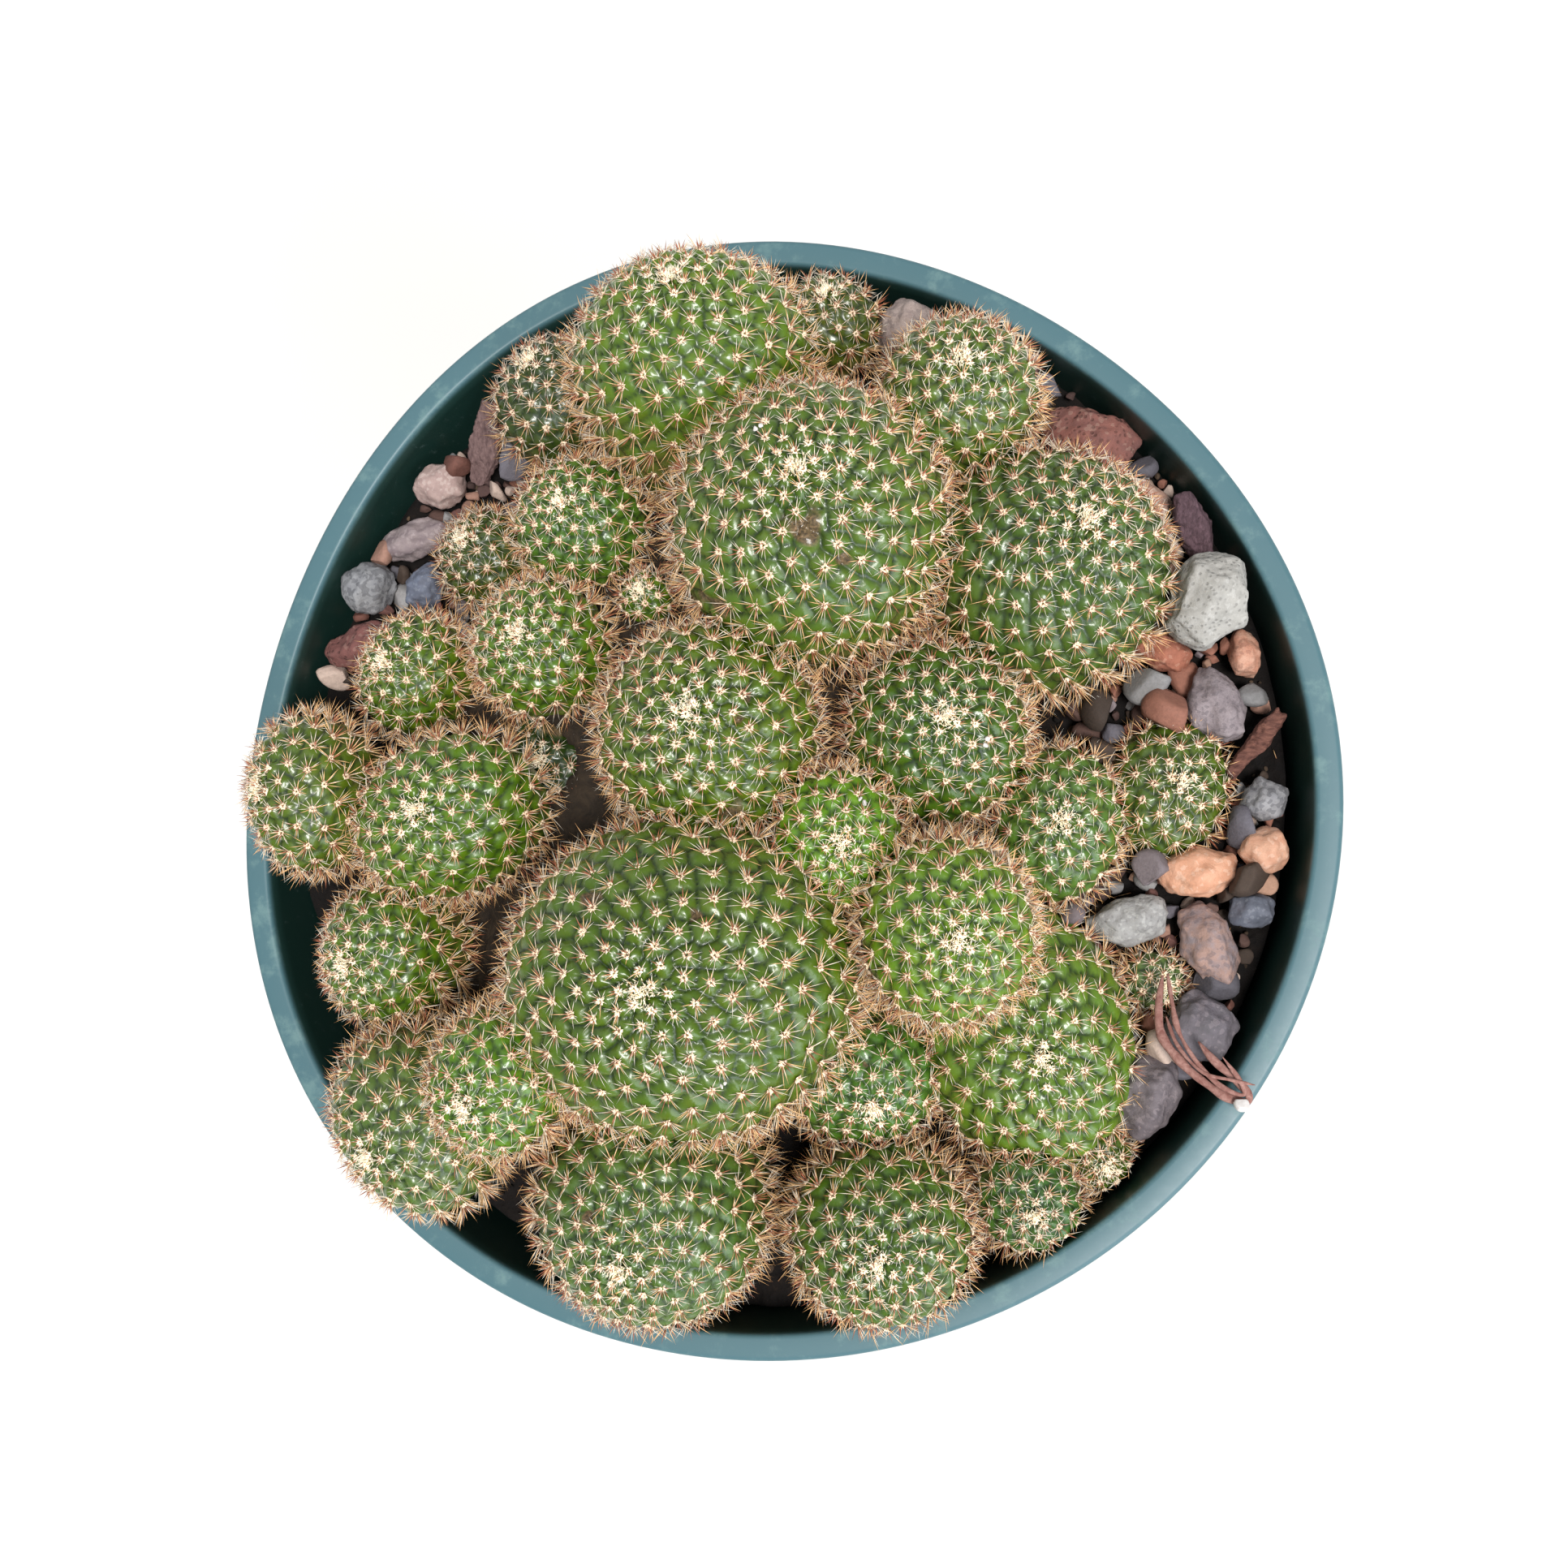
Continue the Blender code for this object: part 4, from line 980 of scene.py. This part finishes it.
def build_crown():
    mesh = solid_copy("root_crown", 0.7 * MM, 3)
    roughen(mesh, [(6 * MM, 1.2 * MM), (2 * MM, 0.5 * MM)], 60)
    dark, light = (0.008, 0.005, 0.003), (0.045, 0.030, 0.018)
    material = wood_finish("crown_wood", dark, light, 1.5 * MM, (1, 1, 4))
    add_piece("crown_bark", mesh, material, SLOTS["root_crown"], "root_crown")


def broken_grains(name, places, sizes, fineness, rng):
    """One mesh of small angular grains, and which grain each of its points belongs to."""
    ball = bmesh.new()
    bmesh.ops.create_icosphere(ball, subdivisions=fineness, radius=1)
    round_points = np.array([vert.co for vert in ball.verts])
    faces = np.array([[vert.index for vert in face.verts] for face in ball.faces])
    ball.free()
    grains = []
    for place, size in zip(places, sizes):
        points = round_points.copy()
        for _ in range(9):
            way = unit(rng.normal(size=3))
            over = np.maximum(0, points @ way - rng.uniform(0.45, 0.85))
            points -= over[:, None] * way
        turn = np.linalg.qr(rng.normal(size=(3, 3)))[0]
        points = (points * rng.uniform(0.65, 1.25, 3)) @ turn
        grains.append(place + points * size)
    count, each = len(grains), len(round_points)
    corners = (np.arange(count)[:, None, None] * each + faces).ravel()
    mesh = make_mesh(name, np.concatenate(grains), corners, np.arange(count * len(faces)) * 3)
    return mesh, np.repeat(np.arange(count), each)


def stone_spots():
    """Middle and half width of every stone and bark piece."""
    spots = []
    for node in (*ROCKS, *BARKS):
        low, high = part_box(node)
        spots.append((np.array((low + high) / 2), max(high.x - low.x, high.y - low.y) * 0.36))
    return spots


def scattered(rng, count, bearings, shares, sizes, heads, spots, packing=0.8, piled=0.5):
    """Places on the mix for grains: clear of the heads, the stones, the wall and the root crown.

    packing is how close they may come to each other, and piled how high they may lie, as shares
    of their own size.
    """
    places, radii = [], []
    crown_low, crown_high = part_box("root_crown")
    crown, crown_reach = (crown_low + crown_high) / 2, (crown_high.x - crown_low.x) / 2
    for _ in range(count * 30):
        if len(places) == count:
            break
        low, high = bearings[rng.integers(len(bearings))]
        bearing = math.radians(rng.uniform(low, high))
        reach = MOUTH_RADIUS * math.sqrt(rng.uniform(shares[0] ** 2, shares[1] ** 2))
        size = (sizes[0] + (sizes[1] - sizes[0]) * rng.uniform() ** 2) / 2
        level = MIX_TOP + size * rng.uniform(0.4, piled)
        place = np.array([reach * math.cos(bearing), reach * math.sin(bearing), level])
        if math.hypot(place[0] - crown.x, place[1] - crown.y) < crown_reach + size * 0.3:
            continue
        if reach + size > inner_radius(place[2]) - 0.4 * MM:
            continue
        if any(np.linalg.norm(place[:2] - spot[:2]) < wide + size * 0.25 for spot, wide in spots):
            continue
        if any(np.linalg.norm(place - head.centre) < head.radius + size for head in heads):
            continue
        if any(np.linalg.norm(place - other) < (size + radius) * packing
               for other, radius in zip(places, radii)):
            continue
        places.append(place)
        radii.append(size)
    return places, radii


# The colours that the fine grit is mixed from
GRIT = [
    (0.46, 0.27, 0.19), (0.30, 0.13, 0.09), (0.30, 0.29, 0.29), (0.50, 0.38, 0.32), (0.13, 0.12, 0.14),
    (0.36, 0.20, 0.15), (0.22, 0.18, 0.19), (0.10, 0.055, 0.045), (0.06, 0.04, 0.03),
    (0.20, 0.085, 0.065), (0.14, 0.065, 0.055), (0.08, 0.045, 0.04),
]


def grit_finish():
    """Fine grit: each grain has its own colour, with a little grain of its own."""
    grit = Finish("grit", Specular_IOR_Level=0.35)
    tint, fine = grit.attribute("tint", "Color"), grit.noise(0.3 * MM, 4, 0.7)
    tone = grit.mix(fine, (0.6, 0.6, 0.6), (1.3, 1.3, 1.3))
    grit.surface(Base_Color=grit.mix(1.0, tint, tone, "MULTIPLY"), Roughness=0.68 + fine * 0.25)
    grit.bump(fine, 0.7, 0.12 * MM)
    return grit.material


def build_grit(heads, mix_material, spine_material):
    """Fine grit between the stones, crumbs on the mix and fallen spines."""
    rng = np.random.default_rng(71)
    spots = stone_spots()
    near_stones = [(-42, 72), (-42, 72), (126, 166)]
    places, radii = scattered(rng, 420, near_stones, (0.62, 1.0), (1.2 * MM, 4.4 * MM), heads, spots,
                              0.62, 2.2)
    mesh, owner = broken_grains("fine_grit", places, radii, 3, rng)
    colours = np.array(GRIT)[rng.integers(len(GRIT), size=len(places))]
    colours = colours * rng.uniform(0.7, 1.2, (len(places), 1))
    tints = np.concatenate([colours[owner], np.ones((len(owner), 1))], axis=1)
    add_attribute(mesh, "tint", tints, "FLOAT_COLOR")
    add_piece("fine_grit", mesh, grit_finish(), SLOTS["stone_brick"])

    places, radii = scattered(rng, 800, [(0, 360)], (0.3, 1.0), (0.4 * MM, 1.5 * MM), heads, [])
    mesh, owner = broken_grains("mix_crumbs", places, radii, 2, rng)
    shades = rng.uniform(size=len(places)) ** 3
    add_attribute(mesh, "shade", shades[owner])
    add_piece("mix_crumbs", mesh, mix_material, SLOTS["potting_mix"])

    places, _ = scattered(rng, 160, [(0, 360)], (0.3, 1.0), (0.4 * MM, 0.6 * MM), heads, [])
    roots = np.array(places) + [0, 0, 0.45 * MM]
    ways = unit(rng.normal(size=roots.shape) * [1, 1, 0.15])
    tips = roots + ways * rng.uniform(1.2, 2.4, (len(roots), 1)) * MM
    inside = np.hypot(tips[:, 0], tips[:, 1]) < inner_radius(MIX_TOP) - 0.6 * MM
    roots, tips = roots[inside], tips[inside]
    fallen = Sticks()
    middles = (roots + tips) / 2 + [0, 0, 0.12 * MM]
    fallen.add(roots, middles, tips, np.full(len(roots), 0.05 * MM), 1, rng.uniform(size=len(roots)))
    add_piece("fallen_spines", fallen.mesh("fallen_spines"), spine_material, SLOTS["head_01"])


# The dried root's strands: (bearing, reach over the mouth (mm), height over the rim (mm)), and
# its thickness (mm)
ROOT_STRANDS = [
    ([(-24.0, -8.6, -0.4), (-27.5, -7.8, 0.0), (-30.4, -6.4, 0.4), (-31.8, -3.8, 0.8),
      (-32.2, -1.6, 1.0), (-32.2, 0.6, 1.1), (-31.6, 2.2, 0.9), (-30.8, 1.9, 0.9),
      (-30.3, 0.2, 1.2), (-29.7, -2.0, 1.3), (-28.9, -3.6, 0.9)], 0.70),
    ([(-23.6, -8.3, -0.2), (-26.4, -7.0, 0.5), (-29.0, -5.4, 1.2), (-30.8, -3.0, 1.7),
      (-31.6, -0.4, 1.8), (-31.2, 1.6, 1.5), (-30.2, 0.8, 1.7), (-29.0, -1.4, 2.0)], 0.42),
    ([(-28.2, -6.9, 0.5), (-30.4, -4.9, 1.3), (-31.4, -2.2, 2.0), (-30.6, 0.0, 2.1),
      (-29.8, 2.0, 1.6)], 0.30),
]

STRAND_ROWS, STRAND_STEPS = 90, 10


def smooth_route(points, count):
    """Evenly spread points on a smooth curve through the route's own points."""
    knots = [2 * points[0] - points[1]] + points + [2 * points[-1] - points[-2]]
    route = []
    for at in np.linspace(0, len(points) - 1 - 1e-6, count):
        span = int(at)
        t = at - span
        a, b, c, d = knots[span:span + 4]
        square, cube = 2 * a - 5 * b + 4 * c - d, 3 * b - a - 3 * c + d
        route.append((2 * b + (c - a) * t + square * t ** 2 + cube * t ** 3) / 2)
    return np.array(route)


def build_root(paper):
    """The dried root: strands that cross the lip, and a papery scale at its end."""
    rng = np.random.default_rng(90)
    parts, corners, starts, first, corner = [], [], [], 0, 0
    turn = np.arange(STRAND_STEPS) * 2 * math.pi / STRAND_STEPS
    for route, thick in ROOT_STRANDS:
        stations = []
        for bearing, beyond, height in route:
            angle, reach = math.radians(bearing), MOUTH_RADIUS + beyond * MM
            stations.append(np.array([
                reach * math.cos(angle), reach * math.sin(angle), POT_HEIGHT + height * MM,
            ]))
        path = smooth_route(stations, STRAND_ROWS)
        along = unit(np.gradient(path, axis=0))
        side = unit(np.cross(along, [0, 0, 1]))
        up = np.cross(side, along)
        wide = thick / 2 * MM * (1 + 0.22 * ripple(path, 1.2 * MM, rng))
        taper = np.linspace(0, 8, STRAND_ROWS)
        wide *= np.minimum(1, taper + 0.3) * np.minimum(1, taper[::-1] + 0.25)
        ring = np.cos(turn)[:, None] * side[:, None] + 0.75 * np.sin(turn)[:, None] * up[:, None]
        rows = path[:, None] + ring * wide[:, None, None]
        rows = np.concatenate([path[:1, None] + 0 * rows[:1], rows, path[-1:, None] + 0 * rows[-1:]])
        strand = turned_mesh("strand", rows)
        parts.append(np.array([vert.co for vert in strand.vertices]))
        for face in strand.polygons:
            starts.append(corner)
            corners.extend(first + vertex for vertex in face.vertices)
            corner += len(face.vertices)
        first += len(parts[-1])
        bpy.data.meshes.remove(strand)
    mesh = make_mesh("root_strands", np.concatenate(parts), corners, starts)
    material = wood_finish("root_fibre", (0.20, 0.075, 0.060), (0.46, 0.26, 0.22), 0.5 * MM, (1, 1, 1))
    add_piece("root_strands", mesh, material, SLOTS["dried_root"], "dried_root")

    tip = parts[0][len(parts[0]) * 6 // 11]
    scale, _ = broken_grains("root_scale", [tip + np.array([0.3, 0.1, 0.5]) * MM], [0.75 * MM], 3, rng)
    add_piece("root_scale", scale, paper, SLOTS["dried_root"])


def paper_finish():
    """Thin white papery scale."""
    paper = Finish("papery_scale", Specular_IOR_Level=0.6, Coat_Weight=0.4)
    fine = paper.noise(0.3 * MM, 4)
    tone = paper.mix(fine, (0.52, 0.45, 0.42), (0.84, 0.82, 0.80))
    paper.surface(Base_Color=tone, Roughness=0.28 + fine * 0.25)
    paper.bump(fine, 0.4, 0.05 * MM)
    return paper.material


# Where papery scales have caught: the head, the direction from its middle and their size (mm)
SCALES = [
    ("head_04", (0.58, -0.21, 0.79), 0.62), ("head_02", (-0.20, 0.42, 0.88), 0.50),
    ("head_05", (0.45, 0.52, 0.73), 0.48), ("head_18", (0.22, -0.05, 0.97), 0.45),
    ("head_03", (0.46, -0.60, 0.66), 0.40),
]
# The heads that a tuft of cobweb hangs between
COBWEB = ("head_03", "head_05", "head_06", "head_24")
COBWEB_THREADS = 110


def build_scales(heads, paper, spine_material):
    """Papery scales caught on the spines, and a tuft of cobweb between four heads."""
    rng = np.random.default_rng(95)
    by_name = {head.name: head for head in heads}
    places, sizes = [], []
    for name, direction, size in SCALES:
        head = by_name[name]
        out = unit(np.array(direction))
        side = square_axes(out)[0]
        for off in (-0.5, 0.5):
            places.append(head.centre + out * (head.radius + 0.75 * MM) + side * off * size * MM)
            sizes.append(size * 0.5 * MM)
    mesh, _ = broken_grains("papery_scales", places, sizes, 3, rng)
    add_piece("papery_scales", mesh, paper, SLOTS["dried_root"])

    heart = np.mean([by_name[name].centre for name in COBWEB], axis=0)
    tuft = Sticks()
    roots = heart + rng.normal(0, 0.9, (COBWEB_THREADS, 3)) * MM
    ways = unit(rng.normal(size=roots.shape))
    tips = roots + ways * rng.uniform(0.8, 2.2, (COBWEB_THREADS, 1)) * MM
    middles = (roots + tips) / 2 + rng.normal(0, 0.15, roots.shape) * MM
    thin, shades = np.full(COBWEB_THREADS, 0.032 * MM), rng.uniform(0.2, 0.8, COBWEB_THREADS)
    tuft.add(roots, middles, tips, thin, 0, shades)
    add_piece("cobweb", tuft.mesh("cobweb"), spine_material, SLOTS["head_01"])


# ---- The stage ----
def add_light(name, direction, angle, strength, colour):
    """A far soft light that shines from that direction."""
    lamp = bpy.data.lights.new(name, "SUN")
    lamp.angle, lamp.energy, lamp.color = math.radians(angle), strength, colour
    item = bpy.data.objects.new(name, lamp)
    bpy.context.scene.collection.objects.link(item)
    item.location = direction
    item.rotation_euler = Vector(direction).to_track_quat("Z", "Y").to_euler()


def set_stage():
    board = bmesh.new()
    bmesh.ops.create_grid(board, x_segments=4, y_segments=4, size=8)
    mesh = bpy.data.meshes.new("floor")
    board.to_mesh(mesh)
    board.free()
    mesh.materials.append(floor_finish())
    floor = bpy.data.objects.new("floor", mesh)
    bpy.context.scene.collection.objects.link(floor)

    add_light("key", (0.30, -0.25, 1.0), 18, 3.35, (1.0, 0.985, 0.96))
    add_light("fill", (-0.55, 0.45, 0.8), 60, 0.4, (0.92, 0.96, 1.0))
    add_light("window", (0.70, -0.75, 0.42), 45, 1.7, (0.84, 0.92, 1.0))
    world = bpy.data.worlds.new("studio")
    world.use_nodes = True
    backdrop = world.node_tree.nodes["Background"]
    backdrop.inputs["Color"].default_value = (0.90, 0.95, 1.0, 1)
    backdrop.inputs["Strength"].default_value = 0.38
    bpy.context.scene.world = world
    bpy.context.scene.view_settings.view_transform = "Standard"


def add_camera():
    lens = bpy.data.cameras.new("camera")
    lens.sensor_width, lens.lens = 36, 36
    lens.clip_start, lens.clip_end = 0.005, 10
    camera = bpy.data.objects.new("camera", lens)
    bpy.context.scene.collection.objects.link(camera)
    forward = Vector((-0.195, 0.097, -0.976)).normalized()
    right = Vector((0.981, 0.019, -0.194))
    right = (right - forward * right.dot(forward)).normalized()
    turn = Matrix((right, (-forward).cross(right), -forward)).transposed()
    camera.matrix_world = Matrix.Translation(Vector((0.0309, -0.0136, 0.2172))) @ turn.to_4x4()
    bpy.context.scene.camera = camera


# ---- The object ----
SLOTS = {part["node"]: part["material_slot"] for part in frame["record"]["subparts"]}
POT_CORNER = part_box("nursery_pot")[1]
POT_HEIGHT, RIM_RADIUS = POT_CORNER.z, POT_CORNER.x
MOUTH_RADIUS = RIM_RADIUS - LIP_WIDTH
BASE_RADIUS = max(abs(vert.co.x) for vert in frame["nodes"]["nursery_pot"].data.vertices
                  if vert.co.z < 2 * MM)
MIX_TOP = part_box("potting_mix")[1].z

# The colours of the kinds of spine, from root to tip
PALE = [
    (0.0, (0.44, 0.20, 0.12)), (0.3, (0.80, 0.62, 0.46)),
    (0.7, (0.92, 0.83, 0.69)), (1.0, (0.95, 0.90, 0.80)),
]
GOLDEN = [
    (0.0, (0.54, 0.25, 0.12)), (0.4, (0.88, 0.56, 0.29)),
    (0.8, (0.84, 0.47, 0.20)), (1.0, (0.64, 0.28, 0.10)),
]
BROWN = [
    (0.0, (0.28, 0.07, 0.05)), (0.3, (0.44, 0.14, 0.08)),
    (0.75, (0.40, 0.13, 0.06)), (1.0, (0.26, 0.08, 0.04)),
]
WOOL = [(0.0, (0.70, 0.47, 0.31)), (0.5, (0.86, 0.66, 0.47)), (1.0, (0.90, 0.78, 0.60))]
CREAM = [(0.0, (0.78, 0.62, 0.38)), (0.5, (0.92, 0.82, 0.60)), (1.0, (0.95, 0.90, 0.74))]

heads = [Head(name) for name in SKINS_WITH_SHADE]
flesh = flesh_finish()
spines = spine_finish("spines", 0.42, PALE, GOLDEN, BROWN, WOOL, CREAM)
for head in heads:
    head.grow(heads)
    build_flesh(head, flesh)
    build_spines(head, heads, spines)
build_pot(pot_finish())
peat = mix_finish()
build_mix(peat)
build_grit(heads, peat, spines)
paper = paper_finish()
build_root(paper)
build_scales(heads, paper, spines)
build_crown()
build_stones()
build_barks()
set_stage()
add_camera()
